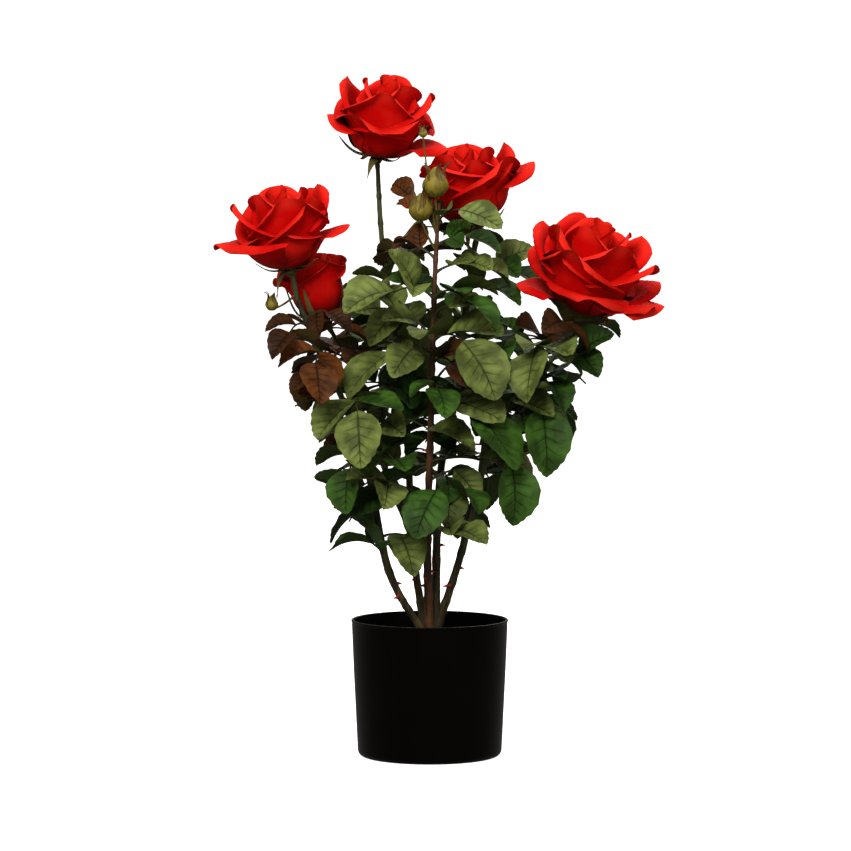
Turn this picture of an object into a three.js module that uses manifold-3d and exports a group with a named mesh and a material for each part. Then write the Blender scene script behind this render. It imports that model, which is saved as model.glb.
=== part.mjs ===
// Artificial rose bush in a plastic pot: five canes and a side branch rise from
// the filled pot, carry masses of compound leaves and end in five red blooms.
// Millimetres, +Z up, origin at the centre of the pot's flat underside.
import * as THREE from 'three';
import { mergeVertices } from 'three/addons/utils/BufferGeometryUtils.js';
import Module from 'manifold-3d';

const wasm = await Module();
wasm.setup();

// ---- driving dimensions ----------------------------------------------------
const GAP = 0.3; // between neighbouring pieces

const POT = { height: 124, rim: 71, foot: 65, wall: 1.8, lip: 0.8, lipHeight: 2.6, corner: 6, sides: 40 };
const FILL_TOP = 108;
const CANE_FOOT = FILL_TOP + GAP;

// Knees of each limb from its foot to its tip, and its radius at foot and tip.
const LIMBS = {
  cane_left: { thick: [4.2, 2.2], knees: [[-3, -5, 108], [-37, -15, 170], [-62, -21, 284], [-112, -26, 398], [-124, -28, 441]] },
  cane_back_left: { thick: [3.8, 2.0], knees: [[-4, 5, 108], [-16, 20, 196], [-22, 33, 314], [-42, 44, 452], [-48, 46, 543]] },
  branch_left: { thick: [2.8, 2.0], knees: [[-17, 21, 200], [-47, 14, 278], [-61, 11, 335], [-95, 10, 394]] },
  cane_front: { thick: [4.2, 1.6], knees: [[0, 1, 108], [-2, -12, 190], [1, -30, 304], [4, -40, 420], [8, -42, 500]] },
  cane_back_right: { thick: [4.0, 2.0], knees: [[5, 5, 108], [9, 32, 244], [27, 36, 360], [42, 28, 466], [51, 24, 491]] },
  cane_right: { thick: [4.0, 2.1], knees: [[4, -4, 108], [27, -11, 180], [52, -14, 272], [92, -12, 330], [134, -8, 401]] },
};
const CROWN_SHARE = 0.1; // of each cane, before it stands free
const THORN_TURN = { cane_left: 200, cane_back_left: 230, cane_front: 190, cane_back_right: 0, cane_right: 200 };
const CANE_SIDES = 8;
const STEM_SIDES = 5;
const STEM_STEP = 28;

// Masses of foliage: the stretch of limb that carries each, its number of sprays,
// and, from its foot to its top, petiole and leaf length, lift and droop in degrees.
const MASSES = {
  foliage_front_high: { limb: 'cane_front', from: 0.50, to: 0.76, sprays: 6, turn: 260, petiole: [28, 24], leaf: [54, 52], lift: [50, 50], droop: [70, 90], bronze: 0.1, seed: 646 },
  foliage_right_high: { limb: 'cane_right', from: 0.58, to: 0.95, sprays: 8, turn: 30, petiole: [28, 18], leaf: [54, 48], lift: [45, 50], droop: [70, 80], bronze: 0.12, seed: 170 },
  foliage_left_high: { limb: 'cane_left', from: 0.60, to: 0.88, sprays: 7, turn: 110, petiole: [22, 12], leaf: [44, 32], lift: [40, 50], droop: [60, 60], bronze: 0.6, seed: 154 },
  foliage_front_top: { limb: 'cane_front', from: 0.78, to: 0.97, sprays: 5, turn: 10, petiole: [18, 12], leaf: [42, 36], lift: [45, 50], droop: [40, 40], bronze: 0.4, seed: 29 },
  foliage_right_low: { limb: 'cane_right', from: 0.32, to: 0.56, sprays: 5, turn: 110, petiole: [28, 30], leaf: [48, 52], lift: [25, 35], droop: [50, 70], bronze: 0, seed: 785 },
  foliage_left_low: { limb: 'cane_left', from: 0.30, to: 0.58, sprays: 6, turn: 140, petiole: [24, 26], leaf: [48, 50], lift: [35, 45], droop: [60, 70], bronze: 0, seed: 627 },
  foliage_front_low: { limb: 'cane_front', from: 0.26, to: 0.48, sprays: 6, turn: 310, petiole: [26, 30], leaf: [48, 52], lift: [25, 30], droop: [30, 50], bronze: 0, seed: 655 },
  foliage_branch_left: { limb: 'branch_left', from: 0.15, to: 0.85, sprays: 5, turn: 290, petiole: [20, 18], leaf: [46, 44], lift: [40, 45], droop: [60, 60], bronze: 0.25, seed: 26 },
  foliage_back_right_high: { limb: 'cane_back_right', from: 0.48, to: 0.84, sprays: 7, turn: 300, petiole: [28, 20], leaf: [52, 42], lift: [40, 45], droop: [60, 60], bronze: 0.15, seed: 280 },
  foliage_back_left_high: { limb: 'cane_back_left', from: 0.50, to: 0.76, sprays: 5, turn: 150, petiole: [28, 20], leaf: [52, 44], lift: [40, 45], droop: [60, 60], bronze: 0.1, seed: 294 },
  foliage_back_right_low: { limb: 'cane_back_right', from: 0.25, to: 0.46, sprays: 5, turn: 230, petiole: [28, 30], leaf: [48, 50], lift: [30, 35], droop: [50, 60], bronze: 0, seed: 887 },
  foliage_back_left_low: { limb: 'cane_back_left', from: 0.26, to: 0.48, sprays: 5, turn: 120, petiole: [26, 28], leaf: [48, 50], lift: [30, 35], droop: [50, 60], bronze: 0, seed: 452 },
};

// Half extents of the crown at some heights: z, left, right, front and back.
const CROWN_REACH = [
  [130, -48, 52, 55], [200, -98, 78, 85], [280, -108, 130, 108], [330, -128, 134, 112], [370, -150, 186, 112],
  [410, -152, 176, 105], [450, -118, 112, 95], [500, -66, 58, 85], [570, -50, 50, 85],
];
const CROWN_FLOOR = 132;

// Blooms: the limb each ends, where its stalk takes over from the foliage,
// the lean of its axis from the limb's tip, its radius, height and how open it is.
const BLOOMS = {
  bloom_top: {
    limb: 'cane_back_left', from: 0.77, axis: [0.16, -0.24, 0.95], radius: 52, height: 76, open: 0.8, centre: [-40, 46, 577], clear: 46,
    petals: [[0, 80, 1.15], [58, 75, 1.1], [118, 72, 1.1], [180, 84, 1.18], [238, 78, 1.1], [300, 84, 1.12]],
  },
  bloom_upper_right: {
    limb: 'cane_back_right', from: 0.86, axis: [-0.2, -0.24, 0.95], radius: 50, height: 72, open: 0.75, centre: [42, 22, 526], clear: 42,
    petals: [[4, 70, 1.16], [62, 66, 1.1], [125, 70, 1.1], [182, 70, 1.2], [240, 80, 1.12], [304, 78, 1.12]],
  },
  bloom_left: {
    limb: 'cane_left', from: 0.89, axis: [-0.16, -0.15, 0.96], radius: 50, height: 76, open: 0.75, centre: [-134, -28, 478], clear: 42,
    petals: [[4, 84, 1.34], [60, 60, 1.16], [122, 66, 1.1], [182, 86, 1.42], [240, 78, 1.14], [305, 76, 1.1]],
  },
  bloom_left_low: {
    limb: 'branch_left', from: 0.86, axis: [-0.24, -0.05, 0.97], radius: 27, height: 62, open: 0.1, centre: [-110, 8, 424], clear: 30,
    petals: [[20, 14, 2.1], [92, 14, 2.1], [168, 34, 2.1], [236, 14, 2.1], [306, 14, 2.1]],
  },
  bloom_right: {
    limb: 'cane_right', from: 0.96, axis: [0.24, -0.24, 0.94], radius: 58, height: 82, open: 1, centre: [146, -12, 447], clear: 46,
    petals: [[-6, 88, 1.22], [48, 72, 1.12], [104, 72, 1.1], [164, 84, 1.16], [216, 86, 1.06], [268, 92, 1.06], [314, 92, 1.16]],
  },
};

// Unopened buds: the mass that carries each, where its stalk leaves the limb,
// its foot, length and radius.
const BUDS = {
  bud_low: { mass: 'foliage_front_top', from: 0.86, foot: [-8, -44, 484], length: 25, radius: 11 },
  bud_high: { mass: 'foliage_front_top', from: 0.94, foot: [5, -48, 505], length: 27, radius: 12 },
  bud_tiny: { mass: 'foliage_front_top', from: 0.9, foot: [-6, -44, 558], length: 9, radius: 4 },
  bud_left: { mass: 'foliage_left_high', from: 0.84, foot: [-141, -30, 404], length: 14, radius: 6 },
};

// ---- seeded numbers and small vector helpers --------------------------------
const GOLDEN = 137.5;
const radians = THREE.MathUtils.degToRad;
const vec = (x, y, z) => new THREE.Vector3(x, y, z);
const blend = (pair, k) => pair[0] + (pair[1] - pair[0]) * k;

function seeded(seed) {
  let state = Math.imul(seed, 2654435761) >>> 0;
  const next = () => {
    state = (Math.imul(state, 1664525) + 1013904223) >>> 0;
    return state / 2 ** 32;
  };
  for (let i = 0; i < 3; i += 1) next();
  return { next, spread: (width) => (next() * 2 - 1) * width };
}

function lookUp(rows, x, column) {
  if (x <= rows[0][0]) return rows[0][column];
  const i = rows.findIndex((row) => row[0] >= x);
  if (i < 0) return rows.at(-1)[column];
  const [low, high] = [rows[i - 1], rows[i]];
  return low[column] + (high[column] - low[column]) * (x - low[0]) / (high[0] - low[0]);
}

// ---- closed shapes ------------------------------------------------------------
// A geometry with shared vertices, each moved to where `move` puts it.
function shaped(geometry, move) {
  const source = geometry.clone();
  source.deleteAttribute('normal');
  source.deleteAttribute('uv');
  const merged = mergeVertices(source, 1e-4);
  const position = merged.getAttribute('position');
  for (let i = 0; i < position.count; i += 1) {
    const p = move(vec().fromBufferAttribute(position, i));
    position.setXYZ(i, p.x, p.y, p.z);
  }
  return merged;
}

const still = (geometry) => shaped(geometry, (p) => p);

function toSolid(geometry) {
  return new wasm.Manifold(new wasm.Mesh({
    numProp: 3,
    vertProperties: Float32Array.from(geometry.getAttribute('position').array),
    triVerts: Uint32Array.from(geometry.getIndex().array),
  }));
}

function toGeometry(solid) {
  const mesh = solid.getMesh();
  const geometry = new THREE.BufferGeometry();
  geometry.setAttribute('position', new THREE.BufferAttribute(Float32Array.from(mesh.vertProperties), 3));
  geometry.setIndex(new THREE.BufferAttribute(Uint32Array.from(mesh.triVerts), 1));
  geometry.computeVertexNormals();
  return geometry;
}

// One body of the given geometries, with the hollows that they close off filled.
function fused(geometries) {
  const shells = geometries.map(toSolid).reduce((sum, solid) => sum.add(solid)).decompose();
  return shells.reduce((largest, shell) => (shell.volume() > largest.volume() ? shell : largest));
}

// A cylinder bent along `path`, which gives a point for 0 to 1, with `radius` there.
function rod(path, radius, sides, steps, across = vec(1, 0, 0)) {
  return shaped(new THREE.CylinderGeometry(1, 1, 1, sides, steps), (p) => {
    const t = p.y + 0.5;
    const ahead = path(Math.min(t + 0.01, 1)).sub(path(Math.max(t - 0.01, 0))).normalize();
    const side = across.clone().addScaledVector(ahead, -across.dot(ahead)).normalize();
    const third = side.clone().cross(ahead);
    return path(t).addScaledVector(side, p.x * radius(t)).addScaledVector(third, p.z * radius(t));
  });
}

// A closed lens on a surface: `place(across, along)` gives its point and its face.
function blade(place, thickness, columns, rows) {
  return shaped(new THREE.SphereGeometry(1, columns, rows), (p) => {
    const ring = Math.hypot(p.x, p.z);
    const across = ring > 1e-6 ? -p.x / ring : 0;
    const side = ring > 1e-6 ? p.z / ring : 0;
    const along = Math.acos(THREE.MathUtils.clamp(p.y, -1, 1)) / Math.PI;
    const { point, face } = place(across, along);
    return point.addScaledVector(face, side * thickness / 2);
  });
}

// ---- limbs --------------------------------------------------------------------
const limbs = {};
for (const [name, { knees, thick }] of Object.entries(LIMBS)) {
  const curve = new THREE.CatmullRomCurve3(knees.map((knee) => vec(...knee)), false, 'catmullrom', 0.5);
  const steps = 40;
  const line = Array.from({ length: steps + 1 }, (_, i) => ({ point: curve.getPoint(i / steps), radius: blend(thick, i / steps) }));
  limbs[name] = { curve, thick, line, step: GAP / curve.getLength() };
}

// The stretch of a limb between two shares of it, half a gap short at its ends.
function stretch(name, from, to, sides, length = 16) {
  const { curve, thick, step } = limbs[name];
  const start = from > 0 ? from + step / 2 : from;
  const end = to < 1 ? to - step / 2 : to;
  const at = (t) => start + (end - start) * t;
  const steps = Math.max(2, Math.round(curve.getLength() * (to - from) / length));
  return rod((t) => curve.getPoint(at(t)), (t) => blend(thick, at(t)), sides, steps);
}

function thorn(name, share, azimuth) {
  const { curve, thick } = limbs[name];
  const out = vec(Math.cos(radians(azimuth)), Math.sin(radians(azimuth)), 0.25).normalize();
  const length = 4.5;
  const cone = new THREE.ConeGeometry(1.5, length, 4);
  cone.translate(0, length / 2 + blend(thick, share) * 0.75, 0);
  cone.applyQuaternion(new THREE.Quaternion().setFromUnitVectors(vec(0, 1, 0), out));
  const root = curve.getPoint(share);
  return still(cone.translate(root.x, root.y, root.z));
}

function crown() {
  const feet = Object.keys(LIMBS).filter((name) => name.startsWith('cane'));
  const tubes = fused(feet.map((name) => stretch(name, 0, CROWN_SHARE, CANE_SIDES, 20)));
  const block = new THREE.BoxGeometry(200, 200, 100);
  block.translate(0, 0, CANE_FOOT + 50);
  return tubes.intersect(toSolid(still(block)));
}

// ---- leaves -------------------------------------------------------------------
const OUTLINE = [[0, 0], [0.08, 0.4], [0.25, 0.84], [0.47, 1], [0.7, 0.85], [0.88, 0.46], [1, 0]];
const HALF_WIDTH = 0.37; // of a leaflet's length
const LEAF_THICKNESS = 1;
const CLEAR = 1.6;

function leafPoint(leaf, along, across) {
  const { base, ahead, side, face, size, arch, fold } = leaf;
  const bend = arch * along;
  const half = across * HALF_WIDTH * size;
  const drop = -size * (1 - Math.cos(bend)) / arch + Math.abs(half) * Math.sin(fold);
  return base.clone().addScaledVector(ahead, size * Math.sin(bend) / arch).addScaledVector(face, drop).addScaledVector(side, half * Math.cos(fold));
}

function leafLocal(leaf, point) {
  const { base, ahead, side, face, size, arch, fold } = leaf;
  const offset = point.clone().sub(base);
  const bend = Math.asin(THREE.MathUtils.clamp(offset.dot(ahead) * arch / size, -0.99, 0.99));
  const across = offset.dot(side) / Math.cos(fold);
  const height = offset.dot(face) + size * (1 - Math.cos(bend)) / arch - Math.abs(across) * Math.sin(fold);
  return { along: bend / arch, across, height };
}

function leafSolid(leaf) {
  const place = (across, along) => {
    return { point: leafPoint(leaf, along, across * lookUp(OUTLINE, along, 1)), face: leaf.face };
  };
  return blade(place, LEAF_THICKNESS, 4, 3);
}

// Whether a line comes within `gap` of a leaf's surface or runs through it.
function touches(leaf, line, gap, grow, closed) {
  const spots = line.map((point) => leafLocal(leaf, point));
  const within = ({ along, across }) => {
    const margin = grow / leaf.size;
    const half = lookUp(OUTLINE, along, 1) * HALF_WIDTH * leaf.size;
    return along > -margin && along < 1 + margin && Math.abs(across) < half + grow;
  };
  if (spots.some((spot) => within(spot) && Math.abs(spot.height) < gap)) return true;
  const last = closed ? spots.length : spots.length - 1;
  for (let i = 0; i < last; i += 1) {
    const [a, b] = [spots[i], spots[(i + 1) % spots.length]];
    if (a.height * b.height >= 0) continue;
    const k = a.height / (a.height - b.height);
    const crossing = { along: a.along + (b.along - a.along) * k, across: a.across + (b.across - a.across) * k };
    if (within(crossing)) return true;
  }
  return false;
}

const nearest = (line, point) => Math.min(...line.map((p) => p.distanceTo(point)));

function insideCrown(points) {
  return points.every((p) => {
    const [left, right, deep] = [1, 2, 3].map((column) => lookUp(CROWN_REACH, p.z, column));
    return p.x > left && p.x < right && Math.abs(p.y) < deep && p.z > CROWN_FLOOR;
  });
}

// ---- sprays of leaves ----------------------------------------------------------
const TRIES = 6;
const TWIG_STEPS = 5;
const TWIG_SOLID_STEPS = 3;
const TWIG_REACH = 1.2;
const LEAFLET_ANGLE = 56;
const FACE_SHARE = 0.55;
const RING = [...OUTLINE.map(([a, w]) => [a, w]), ...OUTLINE.slice(1, -1).reverse().map(([a, w]) => [a, -w])];

const KEEP_CLEAR = [
  ...Object.values(BLOOMS).map(({ centre, clear }) => ({ centre: vec(...centre), clear })),
  ...Object.values(BUDS).map(({ foot, length, radius }) => ({ centre: vec(foot[0], foot[1], foot[2] + length / 2), clear: radius + 2 })),
];

const leaves = [];
const twigs = [];

function twigFits(limb, root, body) {
  if (!insideCrown(body)) return false;
  for (const [name, { line }] of Object.entries(limbs)) {
    const near = line.filter(({ point }) => point.distanceTo(root) < 150 && (name !== limb || point.distanceTo(root) > 9));
    if (near.some(({ point, radius }) => nearest(body, point) < radius + TWIG_REACH + CLEAR)) return false;
  }
  if (KEEP_CLEAR.some(({ centre, clear }) => nearest(body, centre) < clear + 2)) return false;
  const middle = body[1];
  if (leaves.some((leaf) => leaf.centre.distanceTo(middle) < 90 && touches(leaf, body, TWIG_REACH + CLEAR * 0.6, 1.5, false))) return false;
  return !twigs.some((twig) => twig[2].distanceTo(middle) < 120 && twig.slice(1).some((point) => nearest(body, point) < 5));
}

function leafFits(leaf, mates) {
  if (!insideCrown(leaf.ring)) return false;
  if (KEEP_CLEAR.some(({ centre, clear }) => nearest(leaf.ring, centre) < clear)) return false;
  for (const { line } of Object.values(limbs)) {
    const near = line.map(({ point }, i) => (point.distanceTo(leaf.centre) < leaf.size * 0.75 + 8 ? i : -1)).filter((i) => i >= 0);
    if (near.length === 0) continue;
    const reach = line[near[0]].radius + CLEAR;
    if (touches(leaf, line.slice(near[0], near.at(-1) + 1).map(({ point }) => point), reach, reach, false)) return false;
  }
  for (const other of [...leaves, ...mates]) {
    const apart = other.centre.distanceTo(leaf.centre);
    if (apart < 12) return false;
    if (mates.includes(other) || apart >= (other.size + leaf.size) * 0.62) continue;
    if (touches(other, leaf.ring, CLEAR, 1, true) || touches(leaf, other.ring, CLEAR, 1, true)) return false;
  }
  return !twigs.some((twig) => twig[2].distanceTo(leaf.centre) < 90 && touches(leaf, twig, TWIG_REACH + CLEAR * 0.6, 1.5, false));
}

// One compound leaf: a drooping stalk with a leaflet at its end and one or two pairs.
function spray(mass, random, i, attempt) {
  const k = (i + 0.5) / mass.sprays;
  const azimuth = radians(mass.turn + GOLDEN * i + 52 * attempt + random.spread(18));
  const lift = blend(mass.lift, k) + random.spread(16);
  const droop = blend(mass.droop, k) * (0.6 + 0.8 * random.next());
  const petiole = blend(mass.petiole, k) * (0.8 + 0.4 * random.next()) * 0.93 ** attempt;
  const size = blend(mass.leaf, k) * (0.82 + 0.36 * random.next());
  const roll = radians(random.spread(30));
  const pairs = random.next() < 0.4 ? 2 : 1;
  const bronze = random.next() < mass.bronze;
  const tone = random.next();

  const root = limbs[mass.limb].curve.getPoint(mass.from + (mass.to - mass.from) * k);
  const out = vec(Math.cos(azimuth), Math.sin(azimuth), 0);
  const up = vec(0, 0, 1);
  const light = vec(out.x * 0.45, out.y * 0.45 - 0.6, 0.62).normalize();
  const length = petiole + size * (pairs === 1 ? 0.4 : 0.78);
  const pitch = (share) => radians(lift - droop * share);
  const heading = (share) => out.clone().multiplyScalar(Math.cos(pitch(share))).addScaledVector(up, Math.sin(pitch(share)));
  const line = [root];
  for (let j = 0; j < TWIG_STEPS; j += 1) {
    line.push(line[j].clone().addScaledVector(heading((j + 0.5) / TWIG_STEPS), length / TWIG_STEPS));
  }
  const at = (share) => {
    const j = Math.min(Math.floor(share * TWIG_STEPS), TWIG_STEPS - 1);
    return line[j].clone().lerp(line[j + 1], share * TWIG_STEPS - j);
  };
  const fits = twigFits(mass.limb, root, line.slice(1));

  const places = [[1, 0, 1]];
  for (let pair = 0; pair < pairs; pair += 1) {
    const share = 1 - size * (pair === 0 ? 0.4 : 0.78) / length;
    const angle = LEAFLET_ANGLE - 6 * pair;
    places.push([share, angle, 0.86 - 0.12 * pair], [share, -angle, 0.86 - 0.12 * pair]);
  }
  const kept = [];
  for (const [share, angle, scale] of places) {
    const yaw = radians(angle + random.spread(12));
    const tip = radians(random.spread(16));
    const arch = radians(25 + 40 * random.next());
    const fold = radians(6 + 16 * random.next());
    const grown = size * scale * (0.9 + 0.2 * random.next());
    if (!fits) continue;
    const ahead = heading(share);
    const above = out.clone().multiplyScalar(-Math.sin(pitch(share))).addScaledVector(up, Math.cos(pitch(share)));
    const face = above.clone().multiplyScalar(Math.cos(roll)).addScaledVector(ahead.clone().cross(above), Math.sin(roll));
    face.multiplyScalar(1 - FACE_SHARE).addScaledVector(light, FACE_SHARE);
    face.addScaledVector(ahead, -face.dot(ahead)).normalize();
    const sideways = ahead.clone().cross(face);
    const flat = ahead.clone().multiplyScalar(Math.cos(yaw)).addScaledVector(sideways, Math.sin(yaw)).normalize();
    const side = flat.clone().cross(face).normalize();
    const leafAhead = flat.multiplyScalar(Math.cos(tip)).addScaledVector(face, Math.sin(tip));
    const leaf = { base: at(share), ahead: leafAhead, side, face: side.clone().cross(leafAhead), size: grown, arch, fold, bronze, tone };
    leaf.ring = RING.map(([along, across]) => leafPoint(leaf, along, across));
    leaf.centre = leafPoint(leaf, 0.5, 0);
    if (leafFits(leaf, kept)) kept.push(leaf);
  }
  return { line, kept, azimuth };
}

function grow(mass) {
  const sprays = [];
  for (let i = 0; i < mass.sprays; i += 1) {
    const random = seeded(mass.seed * 100 + i);
    let best = null;
    for (let attempt = 0; attempt < TRIES; attempt += 1) {
      const found = spray(mass, random, i, attempt);
      if (found.kept.length > (best ? best.kept.length : 0)) best = found;
      if (best && best.kept.length >= 3) break;
    }
    if (!best) continue;
    leaves.push(...best.kept);
    twigs.push(best.line);
    sprays.push(best);
  }
  return sprays;
}

function spraySolids({ line, kept, azimuth }) {
  const path = (t) => {
    const j = Math.min(Math.floor(t * TWIG_STEPS), TWIG_STEPS - 1);
    return line[j].clone().lerp(line[j + 1], t * TWIG_STEPS - j);
  };
  const across = vec(-Math.sin(azimuth), Math.cos(azimuth), 0);
  const twig = rod(path, (t) => 1.3 - 0.5 * t, 3, TWIG_SOLID_STEPS, across);
  return [twig, ...kept.map(leafSolid)];
}

// ---- buds ----------------------------------------------------------------------
function budSolids({ from, foot, length, radius }, limb) {
  const root = limbs[limb].curve.getPoint(from);
  const end = vec(...foot);
  const bow = root.clone().lerp(end, 0.5).add(vec(0, 0, -0.12 * root.distanceTo(end)));
  const stalk = new THREE.QuadraticBezierCurve3(root, bow, end.clone().add(vec(0, 0, 1)));
  const profile = [[0, 0], [0.75, 0.16], [1, 0.42], [0.72, 0.75], [0, 1]];
  const bud = new THREE.LatheGeometry(profile.map(([r, z]) => new THREE.Vector2(r * radius, z * length)), 8);
  bud.rotateX(Math.PI / 2);
  return [
    rod((t) => stalk.getPoint(t), (t) => 1.3 - 0.3 * t, 4, 4, vec(0, 1, 0)),
    shaped(bud, (p) => p.add(end)),
  ];
}

function foliage(name, mass) {
  const stem = stretch(mass.limb, mass.stem[0], mass.stem[1], STEM_SIDES, STEM_STEP);
  const buds = Object.values(BUDS).filter((bud) => bud.mass === name).flatMap((bud) => budSolids(bud, mass.limb));
  return fused([stem, ...mass.grown.flatMap(spraySolids), ...buds]);
}

// ---- blooms --------------------------------------------------------------------
const PETAL_STEPS = 12;
const WAIST = 0.45; // share of a petal's length where it leans least
const LOBE_COLUMNS = 4; // around each petal of a ring
const NOTCH = 0.26; // how far the rim dips between two petals

// The lean of a cupped petal at a share of its length, from that at foot, waist and tip.
function leanAt([foot, waist, tip], share) {
  const [from, to, k] = share < WAIST ? [foot, waist, share / WAIST] : [waist, tip, (share - WAIST) / (1 - WAIST)];
  return radians(from + (to - from) * k);
}

// How far out and up a petal reaches at a share of its length, in the bloom's own frame.
function petalReach(lean, length, foot, share) {
  let [r, z] = [share > 0 ? foot : 0, 0];
  for (let i = 0; i < PETAL_STEPS; i += 1) {
    const angle = leanAt(lean, share * (i + 0.5) / PETAL_STEPS);
    r += Math.sin(angle) * length * share / PETAL_STEPS;
    z += Math.cos(angle) * length * share / PETAL_STEPS;
  }
  return { r, z, angle: leanAt(lean, share) };
}

// Where a vertex of a unit sphere sits: its row from the top pole, its lobe and how
// far round it is towards the next lobe.
function sphereSpot(p, rows, lobes) {
  const columns = lobes * LOBE_COLUMNS;
  const row = Math.round(Math.acos(THREE.MathUtils.clamp(p.y, -1, 1)) / Math.PI * rows);
  const column = Math.round((Math.atan2(-p.z, p.x) / (2 * Math.PI) + 1) * columns) % columns;
  const between = (column % LOBE_COLUMNS) / LOBE_COLUMNS;
  return { row, lobe: Math.floor(column / LOBE_COLUMNS), between, dip: (1 - Math.abs(2 * between - 1)) ** 1.5 };
}

// The outer petals as one shell with a lobe for each: [turn, lean at its tip, length].
function corolla(petals, lean, foot, rise) {
  const rows = 6;
  const sphere = new THREE.SphereGeometry(1, petals.length * LOBE_COLUMNS, rows);
  return shaped(sphere, (p) => {
    const { row, lobe, between, dip } = sphereSpot(p, rows, petals.length);
    const share = 1 - Math.abs(row - rows / 2) / (rows / 2);
    const [here, next] = [petals[lobe], petals[(lobe + 1) % petals.length]];
    const turn = radians(here[0] + (((next[0] - here[0]) % 360) + 360) % 360 * between);
    const tipLean = here[1] + (next[1] - here[1]) * between;
    const length = (here[2] + (next[2] - here[2]) * between) * (1 - NOTCH * dip);
    if (share === 0) return vec(0, 0, rise + p.y);
    const { r, z, angle } = petalReach([...lean, tipLean], length, foot, share);
    const out = vec(Math.cos(turn), Math.sin(turn), 0);
    const face = vec(0, 0, Math.sin(angle)).addScaledVector(out, -Math.cos(angle));
    return out.multiplyScalar(r).add(vec(0, 0, z + rise)).addScaledVector(face, p.y * 1.2);
  });
}

// The hip under the petals, the closed inner petals with their lobed rim and the heart.
function innerBloom(height, open, turn) {
  const rim = 0.33 + 0.16 * open;
  const profile = [[0, -9], [4.5, -5], [5.5, 0], [0.23, 0.24], [0.34, 0.54], [rim, 0.82], [0.28, 0.66], [0.25, 0.88], [0.1, 0.96], [0, 0.92]];
  const rows = profile.length - 1;
  const lobes = 5;
  return shaped(new THREE.SphereGeometry(1, lobes * LOBE_COLUMNS, rows), (p) => {
    const { row, lobe, between, dip } = sphereSpot(p, rows, lobes);
    const [wide, high] = profile[rows - row];
    const scale = rows - row > 2 ? height : 1;
    const isRim = rows - row === 5;
    const angle = radians(turn + (lobe + between) * 360 / lobes);
    const r = wide * scale * (isRim ? 1 - 0.12 * dip : 1);
    const z = (high - (isRim ? 0.16 * dip : 0)) * scale;
    return vec(r * Math.cos(angle), r * Math.sin(angle), z);
  });
}

function bloom({ limb, from, axis, radius, height, open, petals }) {
  const stalk = stretch(limb, from, 1, STEM_SIDES, STEM_STEP);
  const tip = limbs[limb].curve.getPoint(1);
  const upright = new THREE.Quaternion().setFromUnitVectors(vec(0, 0, 1), vec(...axis).normalize());
  const place = (geometry) => shaped(geometry, (p) => p.applyQuaternion(upright).add(tip));
  const outer = corolla(petals.map(([turn, lean, share]) => [turn, lean, radius * share]), [40 + 30 * open, 8 + 22 * open], 6, 2);
  const inner = innerBloom(height, open, petals[0][0] + 41);
  return fused([stalk, place(inner), place(outer)]);
}

// ---- pot and filling -----------------------------------------------------------
const wallRadius = (z) => POT.foot + (POT.rim - POT.foot) * z / POT.height;

function pot() {
  const { height, wall, lip, lipHeight, corner, sides } = POT;
  const outer = [[0, 0]];
  for (let i = 0; i <= 2; i += 1) {
    const angle = Math.PI / 4 * i;
    outer.push([wallRadius(corner) - corner * (1 - Math.sin(angle)), corner * (1 - Math.cos(angle))]);
  }
  outer.push([wallRadius(height - lipHeight) - lip, height - lipHeight], [POT.rim, height - lipHeight + 0.8], [POT.rim, height]);
  const inner = [[wallRadius(height) - wall - lip, height], [wallRadius(wall) - wall - lip, wall], [0, wall]];
  const profile = [...outer, ...inner].map(([r, z]) => new THREE.Vector2(r, z));
  return toSolid(still(new THREE.LatheGeometry(profile, sides).rotateX(Math.PI / 2)));
}

function potting() {
  const { wall, lip, sides } = POT;
  const inset = wall + lip + GAP / Math.cos(Math.PI / sides);
  const low = wall + GAP;
  const profile = [[0, low], [wallRadius(low) - inset, low], [wallRadius(FILL_TOP) - inset, FILL_TOP], [0, FILL_TOP]];
  const points = profile.map(([r, z]) => new THREE.Vector2(r, z));
  return toSolid(still(new THREE.LatheGeometry(points, sides).rotateX(Math.PI / 2)));
}

// ---- assembly ------------------------------------------------------------------
const LOOKS = {
  pot: { color: 0x0c0b09, roughness: 0.35 },
  potting_fill: { color: 0x14110d, roughness: 0.95 },
  cane: { color: 0x4a3a1c, roughness: 0.7 },
  foliage: { color: 0x2f5a26, roughness: 0.55 },
  bloom: { color: 0xb80d08, roughness: 0.7 },
};

const group = new THREE.Group();

function put(name, solid, look) {
  const mesh = new THREE.Mesh(toGeometry(solid), new THREE.MeshStandardMaterial({ ...LOOKS[look], metalness: 0 }));
  mesh.name = name;
  group.add(mesh);
}

// The stem of each mass runs on to where the next mass or the bloom's stalk begins.
for (const [name, mass] of Object.entries(MASSES)) {
  const starts = [
    ...Object.values(MASSES).filter((other) => other.limb === mass.limb).map((other) => other.from),
    ...Object.values(BLOOMS).filter((other) => other.limb === mass.limb).map((other) => other.from),
  ];
  const later = starts.filter((start) => start > mass.from);
  mass.stem = [mass.from, later.length ? Math.min(...later) : 1];
  mass.grown = grow(mass);
}

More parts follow.
